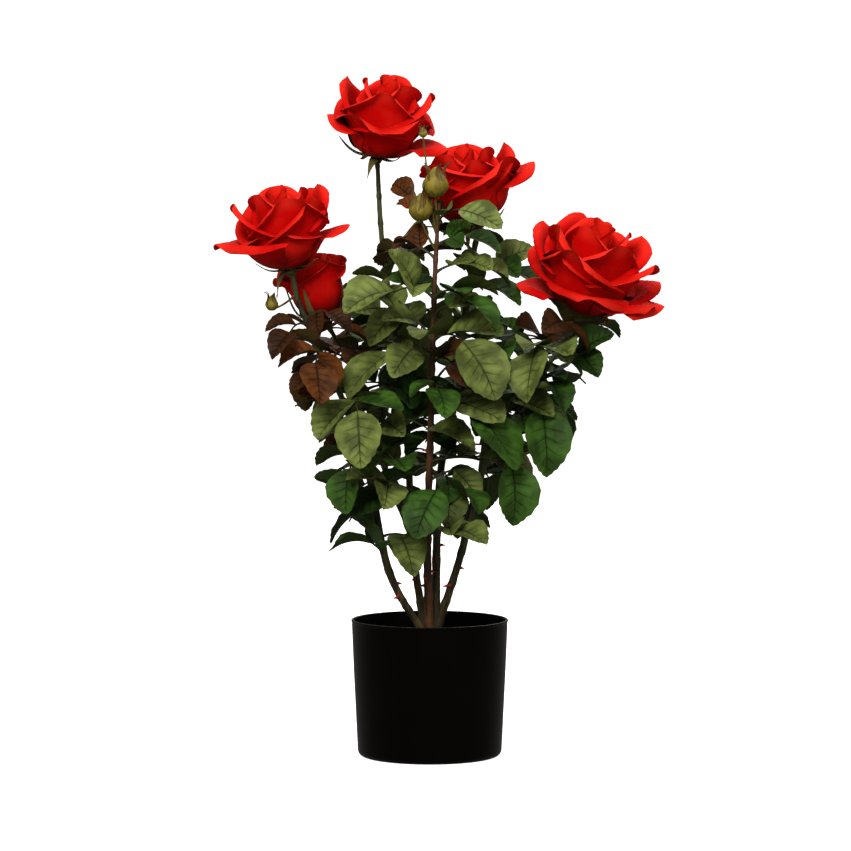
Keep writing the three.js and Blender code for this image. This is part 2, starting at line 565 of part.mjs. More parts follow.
put('pot', pot(), 'pot');
put('potting_fill', potting(), 'potting_fill');
put('crown', crown(), 'cane');
for (const name of Object.keys(LIMBS)) {
  const end = Math.min(...Object.values(MASSES).filter((mass) => mass.limb === name).map((mass) => mass.from));
  const start = name.startsWith('cane') ? CROWN_SHARE : 0;
  let solid = toSolid(stretch(name, start, end, CANE_SIDES, 14));
  for (let i = 0; i < 3 && start > 0; i += 1) {
    solid = solid.add(toSolid(thorn(name, start + (end - start) * (0.3 + 0.25 * i), THORN_TURN[name] + GOLDEN * i)));
  }
  if (start === 0) solid = solid.subtract(toSolid(rod((t) => limbs.cane_back_left.curve.getPoint(0.1 + 0.2 * t), () => 3.4 + GAP + 0.4, CANE_SIDES, 6)));
  put(name, solid, 'cane');
}
for (const [name, mass] of Object.entries(MASSES)) put(name, foliage(name, mass), 'foliage');
for (const [name, shape] of Object.entries(BLOOMS)) put(name, bloom(shape), 'bloom');

export default group;
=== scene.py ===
"""Dresses the artificial rose bush: its pot and filling, bark, twigs, leaves, blooms and buds."""
import copy
import functools
import math
from collections import namedtuple

import bpy
import numpy as np
from bpy.props import FloatProperty, FloatVectorProperty, PointerProperty
from bpy.types import Operator, Panel, PropertyGroup
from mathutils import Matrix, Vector


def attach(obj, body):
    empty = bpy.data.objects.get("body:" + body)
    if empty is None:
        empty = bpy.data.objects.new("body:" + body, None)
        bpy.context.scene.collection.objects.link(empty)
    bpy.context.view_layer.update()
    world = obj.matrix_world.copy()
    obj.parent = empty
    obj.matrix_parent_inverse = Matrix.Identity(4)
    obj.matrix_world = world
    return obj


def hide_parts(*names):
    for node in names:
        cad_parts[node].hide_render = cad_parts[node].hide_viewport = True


bl_info = {
    "name": "Potted rose bush",
    "version": (1, 0, 0),
    "blender": (4, 5, 0),
    "location": "View3D > Sidebar > Rose bush",
    "description": "Models an artificial rose bush in a plastic pot, piece by piece",
    "category": "Object",
}

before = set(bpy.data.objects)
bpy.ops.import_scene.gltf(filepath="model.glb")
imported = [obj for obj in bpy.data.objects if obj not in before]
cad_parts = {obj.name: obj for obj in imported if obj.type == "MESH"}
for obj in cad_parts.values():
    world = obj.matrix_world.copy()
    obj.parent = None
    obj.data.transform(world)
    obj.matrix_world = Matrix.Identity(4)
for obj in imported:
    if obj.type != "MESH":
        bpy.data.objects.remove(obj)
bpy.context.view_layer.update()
MM = 0.001
GOLDEN = 137.5
UP = np.array([0.0, 0.0, 1.0])

# ---- shapes of the plant, in millimetres and degrees ----
# Each limb's knees from foot to tip, then its radius at both.
LIMBS = {
    "cane_left": ([(-3, -5, 108), (-37, -15, 170), (-62, -21, 284), (-112, -26, 398), (-124, -28, 441)], (4.2, 2.2)),
    "cane_back_left": ([(-4, 5, 108), (-16, 20, 196), (-22, 33, 314), (-42, 44, 452), (-48, 46, 543)], (3.8, 2.0)),
    "branch_left": ([(-17, 21, 200), (-47, 14, 278), (-61, 11, 335), (-95, 10, 394)], (2.8, 2.0)),
    "cane_front": ([(0, 1, 108), (-2, -12, 190), (1, -30, 304), (4, -40, 420), (8, -42, 500)], (4.2, 1.6)),
    "cane_back_right": ([(5, 5, 108), (9, 32, 244), (27, 36, 360), (42, 28, 466), (51, 24, 491)], (4.0, 2.0)),
    "cane_right": ([(4, -4, 108), (27, -11, 180), (52, -14, 272), (92, -12, 330), (134, -8, 401)], (4.0, 2.1)),
}
# Turn of each cane's first thorn.
THORN_TURN = {"cane_left": 200, "cane_back_left": 230, "cane_front": 190, "cane_back_right": 0, "cane_right": 200}
# Share of a cane that stands in the crown and the filling.
CROWN_SHARE = 0.1

# A mass of foliage: petiole, leaf, lift and droop are each given at its foot and its top,
# and bronze is the share of bronze sprays.
Mass = namedtuple("Mass", "limb start end sprays turn petiole leaf lift droop bronze seed")
MASSES = {
    "foliage_front_high": Mass("cane_front", 0.50, 0.76, 6, 260, (28, 24), (54, 52), (50, 50), (70, 90), 0.1, 646),
    "foliage_right_high": Mass("cane_right", 0.58, 0.95, 8, 30, (28, 18), (54, 48), (45, 50), (70, 80), 0.12, 170),
    "foliage_left_high": Mass("cane_left", 0.60, 0.88, 7, 110, (22, 12), (44, 32), (40, 50), (60, 60), 0.7, 154),
    "foliage_front_top": Mass("cane_front", 0.78, 0.97, 5, 10, (18, 12), (42, 36), (45, 50), (40, 40), 0.4, 29),
    "foliage_right_low": Mass("cane_right", 0.32, 0.56, 5, 110, (28, 30), (48, 52), (25, 35), (50, 70), 0, 785),
    "foliage_left_low": Mass("cane_left", 0.30, 0.58, 6, 140, (24, 26), (48, 50), (35, 45), (60, 70), 0, 627),
    "foliage_front_low": Mass("cane_front", 0.26, 0.48, 6, 310, (26, 30), (48, 52), (25, 30), (30, 50), 0, 655),
    "foliage_branch_left": Mass("branch_left", 0.15, 0.85, 5, 290, (20, 18), (46, 44), (40, 45), (60, 60), 0.25, 26),
    "foliage_back_right_high":
        Mass("cane_back_right", 0.48, 0.84, 7, 300, (28, 20), (52, 42), (40, 45), (60, 60), 0.15, 280),
    "foliage_back_left_high":
        Mass("cane_back_left", 0.50, 0.76, 5, 150, (28, 20), (52, 44), (40, 45), (60, 60), 0.1, 294),
    "foliage_back_right_low":
        Mass("cane_back_right", 0.25, 0.46, 5, 230, (28, 30), (48, 50), (30, 35), (50, 60), 0, 887),
    "foliage_back_left_low": Mass("cane_back_left", 0.26, 0.48, 5, 120, (26, 28), (48, 50), (30, 35), (50, 60), 0, 452),
}

# Places where every spray is young: left, right, back, bottom, top and how dark at least.
YOUNG = [(-150, -76, 40, 305, 385, 0), (80, 135, 10, 375, 425, 0.8)]

# Masses that are carried on to finer sprays in the room their first ones leave: turn,
# leaf size and number of sprays as a share.
FINER = {
    "foliage_front_high": (68, 0.86, 1.0),
    "foliage_right_high": (68, 0.84, 1.0),
    "foliage_left_high": (68, 0.84, 0.8),
    "foliage_branch_left": (60, 0.84, 1.0),
    "foliage_left_low": (40, 0.96, 0.7),
    "foliage_back_left_high": (68, 0.84, 1.0),
}

# How far a leaf is lifted at its tip, less by each try, and swung outwards, in degrees.
LIFT, LIFT_LESS, SWING, POSE_SPREAD, POSE_SEED = 34, 4, 24, 30, 5000
# Leaves by the buds, from this height on, are smaller by this factor.
BUDS_FROM, SMALLER = 455, 0.76
# Blooms with no leaf in front of them: how far beside and below their centre, and above.
KEPT_OPEN, OPEN_ABOVE = (("bloom_left_low", 30, 24), ("bloom_upper_right", 25, 34)), 34

# Single sprays that reach out at the sides, given as the masses are and grown first.
SINGLE = [
    Mass("cane_left", 0.27, 0.31, 1, 185, (15, 15), (42, 42), (40, 40), (12, 12), 0, 31),
    Mass("cane_right", 0.84, 0.90, 1, 335, (9, 9), (43, 43), (0, 0), (10, 10), 0, 32),
]

# Reach of the crown at some heights: z, left, right, then as far to the front as to the back.
CROWN_REACH = np.array([
    (130, -48, 52, 55), (200, -98, 78, 85), (280, -108, 130, 108), (330, -128, 134, 112), (370, -150, 186, 112),
    (410, -152, 176, 105), (450, -118, 112, 95), (500, -66, 58, 85), (570, -50, 50, 85),
], float)
CROWN_FLOOR = 132
# No leaf hangs lower than this over the pot.
LEAF_FLOOR = 162

Bloom = namedtuple("Bloom", "limb axis radius height open centre clear")
BLOOMS = {
    "bloom_top": Bloom("cane_back_left", (0.16, -0.24, 0.95), 52, 76, 0.8, (-40, 46, 577), 46),
    "bloom_upper_right": Bloom("cane_back_right", (-0.2, -0.2, 0.96), 54, 71, 0.75, (42, 22, 526), 42),
    "bloom_left": Bloom("cane_left", (-0.16, -0.15, 0.96), 50, 76, 0.75, (-134, -28, 478), 42),
    "bloom_left_low": Bloom("branch_left", (-0.24, -0.05, 0.97), 27, 62, 0.1, (-110, 8, 424), 30),
    "bloom_right": Bloom("cane_right", (0.24, -0.24, 0.94), 58, 89, 1.0, (146, -12, 447), 46),
}

# An unopened bud: `start` is where its stalk leaves the limb.
Bud = namedtuple("Bud", "limb start foot length radius")
BUDS = {
    "bud_low": Bud("cane_front", 0.86, (-8, -44, 484), 25, 11),
    "bud_high": Bud("cane_front", 0.94, (5, -48, 505), 27, 12),
    "bud_tiny": Bud("cane_front", 0.9, (-6, -44, 558), 9, 4),
    "bud_left": Bud("cane_left", 0.84, (-141, -30, 404), 14, 6),
}


# ---- vectors and seeded numbers ----
def vec(*parts):
    return np.array(parts, float)


def unit(v):
    return v / math.sqrt(v[0] * v[0] + v[1] * v[1] + v[2] * v[2])


def cross(a, b):
    return np.array([a[1] * b[2] - a[2] * b[1], a[2] * b[0] - a[0] * b[2], a[0] * b[1] - a[1] * b[0]])


def between(pair, k):
    return pair[0] + (pair[1] - pair[0]) * k


class Seeded:
    """A stream of repeatable numbers."""

    def __init__(self, seed):
        self.state = (seed * 2654435761) & 0xFFFFFFFF
        for _ in range(3):
            self.next()

    def next(self):
        self.state = (self.state * 1664525 + 1013904223) & 0xFFFFFFFF
        return self.state / 4294967296

    def spread(self, width):
        return (self.next() * 2 - 1) * width


# ---- limbs ----
LIMB_STEPS = 40


def smooth_line(line, share):
    """A point on a soft curve through the points of `line`."""
    knees = [2 * line[0] - line[1], *line, 2 * line[-1] - line[-2]]
    spans = len(knees) - 3
    place = min(max(share, 0), 1) * spans
    i = min(int(place), spans - 1)
    w = place - i
    a, b, c, d = knees[i:i + 4]
    m0, m1 = (c - a) * 0.5, (d - b) * 0.5
    return b + m0 * w + (3 * (c - b) - 2 * m0 - m1) * w * w + (2 * (b - c) + m0 + m1) * w ** 3


def limb_point(name, share):
    return smooth_line([vec(*knee) for knee in LIMBS[name][0]], share)


def limb_radius(name, share):
    return between(LIMBS[name][1], share)


LIMB_SHARES = [i / LIMB_STEPS for i in range(LIMB_STEPS + 1)]
LIMB_LINES = {name: np.array([limb_point(name, share) for share in LIMB_SHARES]) for name in LIMBS}
LIMB_RADII = {name: np.array([limb_radius(name, share) for share in LIMB_SHARES]) for name in LIMBS}

# ---- the rule that grows sprays of leaves ----
# A leaflet's outline: share along it and share of its half width.
OUTLINE = np.array([(0, 0), (0.08, 0.4), (0.25, 0.84), (0.47, 1), (0.7, 0.85), (0.88, 0.46), (1, 0)], float)
OUT_ALONG, OUT_WIDE = OUTLINE.T
RING_ALONG = np.concatenate([OUT_ALONG, OUT_ALONG[-2:0:-1]])
RING_WIDE = np.concatenate([OUT_WIDE, -OUT_WIDE[-2:0:-1]])
HALF_WIDTH = 0.37
# Room left round a leaf, half a twig's thickness, and how near twigs, leaf centres and a
# twig's own limb beyond its root may come.
CLEAR, TWIG_REACH, TWIG_APART, LEAF_APART, ROOT_REACH = 1.6, 1.2, 5, 12, 9
# Distances past which a limb, a leaf and a twig can't touch.
LIMB_NEAR, LEAF_NEAR, TWIG_NEAR = 150, 90, 120
TWIG_STEPS = 5
TRIES = 6
TURN_PER_TRY = 52
# How much of a leaf's face turns to the light.
FACE_SHARE = 0.55
# How far behind the tip leaf each pair sits, in leaf lengths, and its angle to the twig.
PAIR_BACK = (0.4, 0.78)
LEAFLET_ANGLE = 56
BRONZE_MORE = 1.35
KEEP_CLEAR = [(vec(*bloom.centre), bloom.clear) for bloom in BLOOMS.values()]
KEEP_CLEAR += [(vec(bud.foot[0], bud.foot[1], bud.foot[2] + bud.length / 2), bud.radius + 2) for bud in BUDS.values()]


class Leaf:
    """A leaflet: its base, three directions, size, arch and fold."""

    def points(self, along, across):
        bend = self.arch * along
        half = across * HALF_WIDTH * self.size
        drop = -self.size * (1 - np.cos(bend)) / self.arch + np.abs(half) * math.sin(self.fold)
        forward = self.size * np.sin(bend) / self.arch
        return (self.base + forward[..., None] * self.ahead + drop[..., None] * self.face
                + (half * math.cos(self.fold))[..., None] * self.side)

    def local(self, points):
        offset = points - self.base
        bend = np.arcsin(np.clip(offset @ self.ahead * self.arch / self.size, -0.99, 0.99))
        across = offset @ self.side / math.cos(self.fold)
        height = offset @ self.face + self.size * (1 - np.cos(bend)) / self.arch - np.abs(across) * math.sin(self.fold)
        return bend / self.arch, across, height


def touches(leaf, line, gap, grow, closed):
    """Whether `line`, a ring where `closed`, comes within `gap` of the leaf or goes through it."""
    along, across, height = leaf.local(line)

    def within(a, w):
        half = np.interp(a, OUT_ALONG, OUT_WIDE) * HALF_WIDTH * leaf.size
        margin = grow / leaf.size
        return (a > -margin) & (a < 1 + margin) & (np.abs(w) < half + grow)

    if np.any(within(along, across) & (np.abs(height) < gap)):
        return True
    if closed:
        along2, across2, height2 = (np.roll(v, -1) for v in (along, across, height))
    else:
        along2, across2, height2 = along[1:], across[1:], height[1:]
        along, across, height = along[:-1], across[:-1], height[:-1]
    through = (height * height2) < 0
    if not np.any(through):
        return False
    k = height[through] / (height[through] - height2[through])
    return bool(np.any(within(along[through] + (along2[through] - along[through]) * k,
                              across[through] + (across2[through] - across[through]) * k)))


def nearest(line, point):
    return np.min(np.linalg.norm(line - point, axis=1))


def inside_crown(points):
    z = points[:, 2]
    left, right, deep = (np.interp(z, CROWN_REACH[:, 0], CROWN_REACH[:, column]) for column in (1, 2, 3))
    x, y = points[:, 0], points[:, 1]
    return bool(np.all((x > left) & (x < right) & (np.abs(y) < deep) & (z > CROWN_FLOOR)))


def twig_fits(limb, root, body, leaves, twigs):
    """Whether a twig keeps clear of the other limbs, the blooms, the leaves and the twigs."""
    if not inside_crown(body):
        return False
    for name, line in LIMB_LINES.items():
        away = np.linalg.norm(line - root, axis=1)
        near = away < LIMB_NEAR
        if name == limb:
            near &= away > ROOT_REACH
        if near.any():
            apart = np.linalg.norm(body[:, None] - line[near][None], axis=2)
            if (apart < LIMB_RADII[name][near][None] + TWIG_REACH + CLEAR).any():
                return False
    if any(nearest(body, centre) < clear + 2 for centre, clear in KEEP_CLEAR):
        return False
    middle = body[1]
    for leaf in leaves:
        near = np.linalg.norm(leaf.centre - middle) < LEAF_NEAR
        if near and touches(leaf, body, TWIG_REACH + CLEAR * 0.6, 1.5, False):
            return False
    return not any(np.linalg.norm(twig[2] - middle) < TWIG_NEAR
                   and np.min(np.linalg.norm(body[:, None] - twig[1:][None], axis=2)) < TWIG_APART for twig in twigs)


def leaf_fits(leaf, mates, leaves, twigs):
    """Whether a leaf keeps clear of all else; its mates on the same twig need only stand apart."""
    if not inside_crown(leaf.ring):
        return False
    if any(nearest(leaf.ring, centre) < clear for centre, clear in KEEP_CLEAR):
        return False
    for name, line in LIMB_LINES.items():
        near = np.where(np.linalg.norm(line - leaf.centre, axis=1) < leaf.size * 0.75 + 8)[0]
        if len(near):
            reach = LIMB_RADII[name][near[0]] + CLEAR
            if touches(leaf, line[near[0]:near[-1] + 1], reach, reach, False):
                return False
    for other in leaves + mates:
        apart = np.linalg.norm(other.centre - leaf.centre)
        if apart < LEAF_APART:
            return False
        if any(other is mate for mate in mates) or apart >= (other.size + leaf.size) * 0.62:
            continue
        if touches(other, leaf.ring, CLEAR, 1, True) or touches(leaf, other.ring, CLEAR, 1, True):
            return False
    return not any(np.linalg.norm(twig[2] - leaf.centre) < LEAF_NEAR
                   and touches(leaf, twig, TWIG_REACH + CLEAR * 0.6, 1.5, False) for twig in twigs)


def spray(mass, random, i, attempt, leaves, twigs):
    """One spray: its bent twig and those of its leaves that fit."""
    limb, start, end, sprays, turn, petioles, sizes, lifts, droops, bronze_share, _ = mass
    k = (i + 0.5) / sprays
    azimuth = math.radians(turn + GOLDEN * i + TURN_PER_TRY * attempt + random.spread(18))
    lift = between(lifts, k) + random.spread(16)
    droop = between(droops, k) * (0.6 + 0.8 * random.next())
    petiole = between(petioles, k) * (0.8 + 0.4 * random.next()) * 0.93 ** attempt
    size = between(sizes, k) * (0.82 + 0.36 * random.next())
    roll = math.radians(random.spread(30))
    pairs = 2 if random.next() < 0.4 else 1
    bronze = random.next() < bronze_share * BRONZE_MORE
    if limb == "cane_front" and bronze_share > 0.2:
        bronze = math.cos(azimuth) < 0.1
    tone = random.next()

    root = limb_point(limb, start + (end - start) * k)
    out = vec(math.cos(azimuth), math.sin(azimuth), 0)
    light = unit(vec(out[0] * 0.45, out[1] * 0.45 - 0.6, 0.62))
    length = petiole + size * PAIR_BACK[pairs - 1]

    def heading(share):
        pitch = math.radians(lift - droop * share)
        return out * math.cos(pitch) + UP * math.sin(pitch), UP * math.cos(pitch) - out * math.sin(pitch)

    line = [root]
    for j in range(TWIG_STEPS):
        line.append(line[-1] + heading((j + 0.5) / TWIG_STEPS)[0] * length / TWIG_STEPS)
    line = np.array(line)

    def at(share):
        j = min(int(share * TWIG_STEPS), TWIG_STEPS - 1)
        return line[j] + (line[j + 1] - line[j]) * (share * TWIG_STEPS - j)

    fits = twig_fits(limb, root, line[1:], leaves, twigs)
    places = [(1, 0, 1)]
    for pair in range(pairs):
        share = 1 - size * PAIR_BACK[pair] / length
        angle = LEAFLET_ANGLE - 6 * pair
        places += [(share, angle, 0.86 - 0.12 * pair), (share, -angle, 0.86 - 0.12 * pair)]
    kept = []
    for share, angle, scale in places:
        yaw = math.radians(angle + random.spread(12))
        tip = math.radians(random.spread(16))
        arch = math.radians(25 + 40 * random.next())
        fold = math.radians(6 + 16 * random.next())
        grown = size * scale * (0.9 + 0.2 * random.next())
        if not fits:
            continue
        ahead, above = heading(share)
        face = above * math.cos(roll) + cross(ahead, above) * math.sin(roll)
        face = face * (1 - FACE_SHARE) + light * FACE_SHARE
        face = unit(face - ahead * (face @ ahead))
        flat = unit(ahead * math.cos(yaw) + cross(ahead, face) * math.sin(yaw))
        leaf = Leaf()
        leaf.side = unit(cross(flat, face))
        leaf.ahead = flat * math.cos(tip) + face * math.sin(tip)
        leaf.face = cross(leaf.side, leaf.ahead)
        leaf.base, leaf.size, leaf.arch, leaf.fold = at(share), grown, arch, fold
        leaf.bronze, leaf.tone = bronze, tone
        leaf.ring = leaf.points(RING_ALONG, RING_WIDE)
        leaf.centre = leaf.points(vec(0.5), vec(0))[0]
        if leaf_fits(leaf, kept, leaves, twigs):
            kept.append(leaf)
    return line, kept


def grow_mass(mass, seeds, leaves, twigs):
    """Grows a mass spray by spray, each at the first try that keeps three leaves, or else the best."""
    for i in range(mass.sprays):
        random = Seeded(seeds + i)
        best = None
        for attempt in range(TRIES):
            line, kept = spray(mass, random, i, attempt, leaves, twigs)
            if kept and (best is None or len(kept) > len(best[1])):
                best = (line, kept)
            if best and len(best[1]) >= 3:
                break
        if best:
            line, kept = best
            x, y, z = line[-1]
            for leaf in kept:
                leaf.twig = line
                for left, right, back, bottom, top, dark in YOUNG:
                    if left < x < right and y < back and bottom < z < top:
                        leaf.bronze, leaf.tone = True, max(leaf.tone, dark)
            leaves += kept
            twigs.append(line)


@functools.cache
def grown_foliage():
    """Every leaf and twig: single sprays, masses and finer sprays, each leaf then lifted and swung."""
    leaves, twigs = [], []
    for mass in [*SINGLE, *MASSES.values()]:
        grow_mass(mass, mass.seed * 100, leaves, twigs)
    for name, (turn, scale, share) in FINER.items():
        mass = MASSES[name]
        sizes = tuple(size * scale for size in mass.leaf)
        finer = mass._replace(sprays=round(mass.sprays * share), turn=mass.turn + turn, leaf=sizes)
        grow_mass(finer, mass.seed * 100 + 50, leaves, twigs)
    for i, leaf in enumerate(leaves):
        mates = [other for other in leaves if other.twig is leaf.twig and other is not leaf]
        others = [other for other in leaves if other.twig is not leaf.twig]
        elsewhere = [twig for twig in twigs if twig is not leaf.twig]
        random = Seeded(POSE_SEED + i)
        outward = unit(leaf.centre * vec(1, 0.5, 0)) + 0.6 * UP
        swing = SWING if leaf.side @ outward > 0 else -SWING
        for attempt in range(TRIES):
            lift = math.radians(LIFT - LIFT_LESS * attempt + random.spread(POSE_SPREAD))
            moved = reposed(leaf, lift, math.radians(swing + random.spread(POSE_SPREAD)))
            if (leaf_fits(moved, mates, others, elsewhere)
                    and not any(touches(mate, moved.ring, 0.3, 0, True) for mate in mates)):
                leaves[i] = moved
                break
    leaves = [leaf for leaf in leaves if not hides_bloom(leaf) and leaf.ring[:, 2].min() > LEAF_FLOOR]
    return leaves, [twig for twig in twigs if any(leaf.twig is twig for leaf in leaves)]


def hides_bloom(leaf):
    """Leaves that would hang over the front of two of the blooms are left off."""
    for name, beside, below in KEPT_OPEN:
        x, y, z = leaf.centre - vec(*BLOOMS[name].centre)
        if y < 0 and abs(x) < beside and -below < z < OPEN_ABOVE:
            return True
    return False


def reposed(leaf, lift, yaw):
    """The same leaf, lifted at its tip and swung sideways about its base; smaller near the buds."""
    new = copy.copy(leaf)
    ahead = leaf.ahead * math.cos(lift) + leaf.face * math.sin(lift)
    new.face = leaf.face * math.cos(lift) - leaf.ahead * math.sin(lift)
    new.ahead = ahead * math.cos(yaw) + leaf.side * math.sin(yaw)
    new.side = leaf.side * math.cos(yaw) - ahead * math.sin(yaw)
    if leaf.base[2] > BUDS_FROM:
        new.size = leaf.size * SMALLER
    new.ring = new.points(RING_ALONG, RING_WIDE)
    new.centre = new.points(vec(0.5), vec(0))[0]
    return new


# ---- meshes made of many small shapes ----
def shell_faces(columns, rows):
    """Faces of a thin shell: two sheets that share their border."""
    def front(i, j):
        return i * (columns + 1) + j

    def back(i, j):
        if i in (0, rows) or j in (0, columns):
            return front(i, j)
        return (rows + 1) * (columns + 1) + (i - 1) * (columns - 1) + j - 1

    cells = [(i, j) for i in range(rows) for j in range(columns)]
    return np.array([[front(i, j), front(i, j + 1), front(i + 1, j + 1), front(i + 1, j)] for i, j in cells]
                    + [[back(i, j), back(i + 1, j), back(i + 1, j + 1), back(i, j + 1)] for i, j in cells])


def sheet_normals(front):
    rows, columns = np.gradient(front, axis=(0, 1))
    normals = np.cross(columns, rows)
    return normals / np.maximum(np.linalg.norm(normals, axis=2, keepdims=True), 1e-9)


class Cluster:
    """Gathers small shapes of one kind, in millimetres, and makes them one piece."""

    def __init__(self):
        self.points, self.faces, self.spots, self.looks, self.count = [], [], [], [], 0

    def add(self, points, spots, looks, *blocks):
        """Adds points with blocks of their faces, all quads or all triangles, and a look for each face."""
        self.points.append(points)
        for faces in blocks:
            self.faces.append(faces + self.count)
            self.spots.append(spots[faces.reshape(-1)])
        self.looks.append(looks)
        self.count += len(points)

    def sheet(self, front, thickness, spots):
        """Adds a thin shell whose first sheet is `front`, rows by columns of points."""
        rows, columns = front.shape[0] - 1, front.shape[1] - 1
        faces = shell_faces(columns, rows)
        behind = (front - sheet_normals(front) * thickness)[1:-1, 1:-1]
        points = np.concatenate([front.reshape(-1, 3), behind.reshape(-1, 3)])
        all_spots = np.concatenate([spots.reshape(-1, 2), spots[1:-1, 1:-1].reshape(-1, 2)])
        self.add(points, all_spots, np.repeat([0, 1], rows * columns), faces)

    def tube(self, line, radii, sides):
        """Adds a closed tube along `line`."""
        ahead = np.gradient(line, axis=0)
        ahead /= np.linalg.norm(ahead, axis=1, keepdims=True)
        side = unit(cross(ahead[0], UP if abs(ahead[0][2]) < 0.9 else vec(1, 0, 0)))
        rings = []
        turns = np.arange(sides) * 2 * math.pi / sides
        for point, direction, radius in zip(line, ahead, radii):
            side = unit(side - direction * (side @ direction))
            third = cross(direction, side)
            rings.append(point + radius * (np.cos(turns)[:, None] * side + np.sin(turns)[:, None] * third))
        rings = np.array(rings)
        n = len(line)
        points = np.concatenate([line[:1], rings.reshape(-1, 3), line[-1:]])
        j = np.arange(sides)
        after = (j + 1) % sides
        below = 1 + sides * np.arange(n - 1)[:, None]
        above = below + sides
        quads = np.stack([below + j, below + after, above + after, above + j], -1).reshape(-1, 4)
        low = np.stack([0 * j, 1 + after, 1 + j], -1)
        top = 1 + (n - 1) * sides
        high = np.stack([0 * j + top + sides, top + j, top + after], -1)
        spots = np.zeros((len(points), 2))
        spots[1:-1, 0] = np.tile(np.arange(sides) / sides, n)
        spots[1:-1, 1] = np.repeat(np.linspace(0, 1, n), sides)
        spots[-1, 1] = 1
        self.add(points, spots, np.zeros(len(quads) + 2 * sides), quads, low, high)

    def piece(self, name, finishes, slot, *nodes):
        """Joins the shapes as one finished piece that rides on the plant."""
        mesh = bpy.data.meshes.new(name)
        faces = [face for block in self.faces for face in block.tolist()]
        mesh.from_pydata((np.concatenate(self.points) * MM).tolist(), [], faces)
        layer = mesh.uv_layers.new(name="spots")
        layer.data.foreach_set("uv", np.concatenate(self.spots).astype(np.float32).reshape(-1))
        for finish in finishes:
            mesh.materials.append(finish)
        mesh.polygons.foreach_set("material_index", np.concatenate(self.looks).astype(np.int32))
        mesh.update()
        thing = bpy.data.objects.new(name, mesh)
        bpy.context.scene.collection.objects.link(thing)
        only(thing)
        bpy.ops.object.shade_smooth_by_angle(angle=math.radians(75))
        hand_over(thing, slot, *nodes)


def hand_over(thing, slot, *nodes):
    """Lets a finished piece ride on the plant in place of some nodes."""
    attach(thing, "root")
    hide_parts(*nodes)


# ---- finishes ----
class Flow:
    """An output of a finish's node, with the arithmetic done by Math nodes."""

    def __init__(self, finish, socket):
        self.finish, self.socket = finish, socket

    def _math(self, operation, a, b):
        return self.finish.node("ShaderNodeMath", {"operation": operation}, {0: a, 1: b})

    def __add__(self, other):
        return self._math("ADD", self, other)

    def __sub__(self, other):
        return self._math("SUBTRACT", self, other)

    def __mul__(self, other):
        return self._math("MULTIPLY", self, other)

    def __radd__(self, other):
        return self._math("ADD", other, self)

    def __rsub__(self, other):
        return self._math("SUBTRACT", other, self)

    def __rmul__(self, other):
        return self._math("MULTIPLY", other, self)

    def __abs__(self):
        return self._math("ABSOLUTE", self, 0.0)

    def most(self, other):
        return self._math("MAXIMUM", self, other)

    def wave(self):
        return self._math("SINE", self, 0.0)

    def wrapped(self):
        return self._math("FRACT", self, 0.0)

    def part(self, number):
        """Another output of the same node."""
        return Flow(self.finish, self.socket.node.outputs[number])

    def ease(self, low, high):
        """Eases from 0 at `low` to 1 at `high`."""
        return self.finish.node("ShaderNodeMapRange", {"interpolation_type": "SMOOTHSTEP"},
                                {"Value": self, "From Min": low, "From Max": high})


class Finish:
    """A material made of nodes."""

    def __init__(self, name):
        self.material = bpy.data.materials.new(name)
        self.material.use_nodes = True
        self.tree = self.material.node_tree
        self.tree.nodes.clear()

    def node(self, kind, settings=None, values=None, output=0):
        node = self.tree.nodes.new(kind)
        for key, value in (settings or {}).items():
            setattr(node, key, value)
        for key, value in (values or {}).items():
            if isinstance(value, Flow):
                self.tree.links.new(value.socket, node.inputs[key])
            else:
                node.inputs[key].default_value = value
        return Flow(self, node.outputs[output]) if node.outputs else None

    def place(self, stretch=(1, 1, 1)):
        """Object coordinates in metres, stretched."""
        spot = self.node("ShaderNodeTexCoord", output=3)
        return self.node("ShaderNodeMapping", {}, {"Vector": spot, "Scale": stretch})

    def spots(self):
        """Across and along the piece's own map."""
        split = self.node("ShaderNodeSeparateXYZ", {}, {0: self.node("ShaderNodeUVMap", {"uv_map": "spots"})})
        return split, split.part(1)

    def noise(self, where, scale, detail=3.0, roughness=0.5):
        values = {"Vector": where, "Scale": scale, "Detail": detail, "Roughness": roughness}
        return self.node("ShaderNodeTexNoise", {}, values)

    def mix(self, factor, a, b):
        """Mixes two colours, each a tuple or a Flow."""
        a, b = ((*c, 1) if isinstance(c, tuple) else c for c in (a, b))
        return self.node("ShaderNodeMix", {"data_type": "RGBA"}, {0: factor, 6: a, 7: b}, 2)

    def finish(self, colour, roughness, height, depth, **constants):
        """Joins colour, roughness and relief to the surface; the rest are constants."""
        bump = self.node("ShaderNodeBump", {}, {"Height": height, "Distance": depth, "Strength": 1.0})
        values = {"Base Color": colour, "Roughness": roughness, "Normal": bump}
        values.update({key.replace("_", " "): value for key, value in constants.items()})
        shader = self.node("ShaderNodeBsdfPrincipled", {}, values)
        self.node("ShaderNodeOutputMaterial", {}, {"Surface": shader})
        return self.material


def scaled(tint, factor):
    """A lighter or darker tint."""
    return tuple(min(1, part * factor) for part in tint)


def leaf_map(f):
    """0 on the midrib to 1 at the edge, and 0 on a side rib to 1 between two."""
    across, along = f.spots()
    return abs(across - 0.5) * 2, abs((along * LEAF_VEINS + 0.5).wrapped() - 0.5) * 2


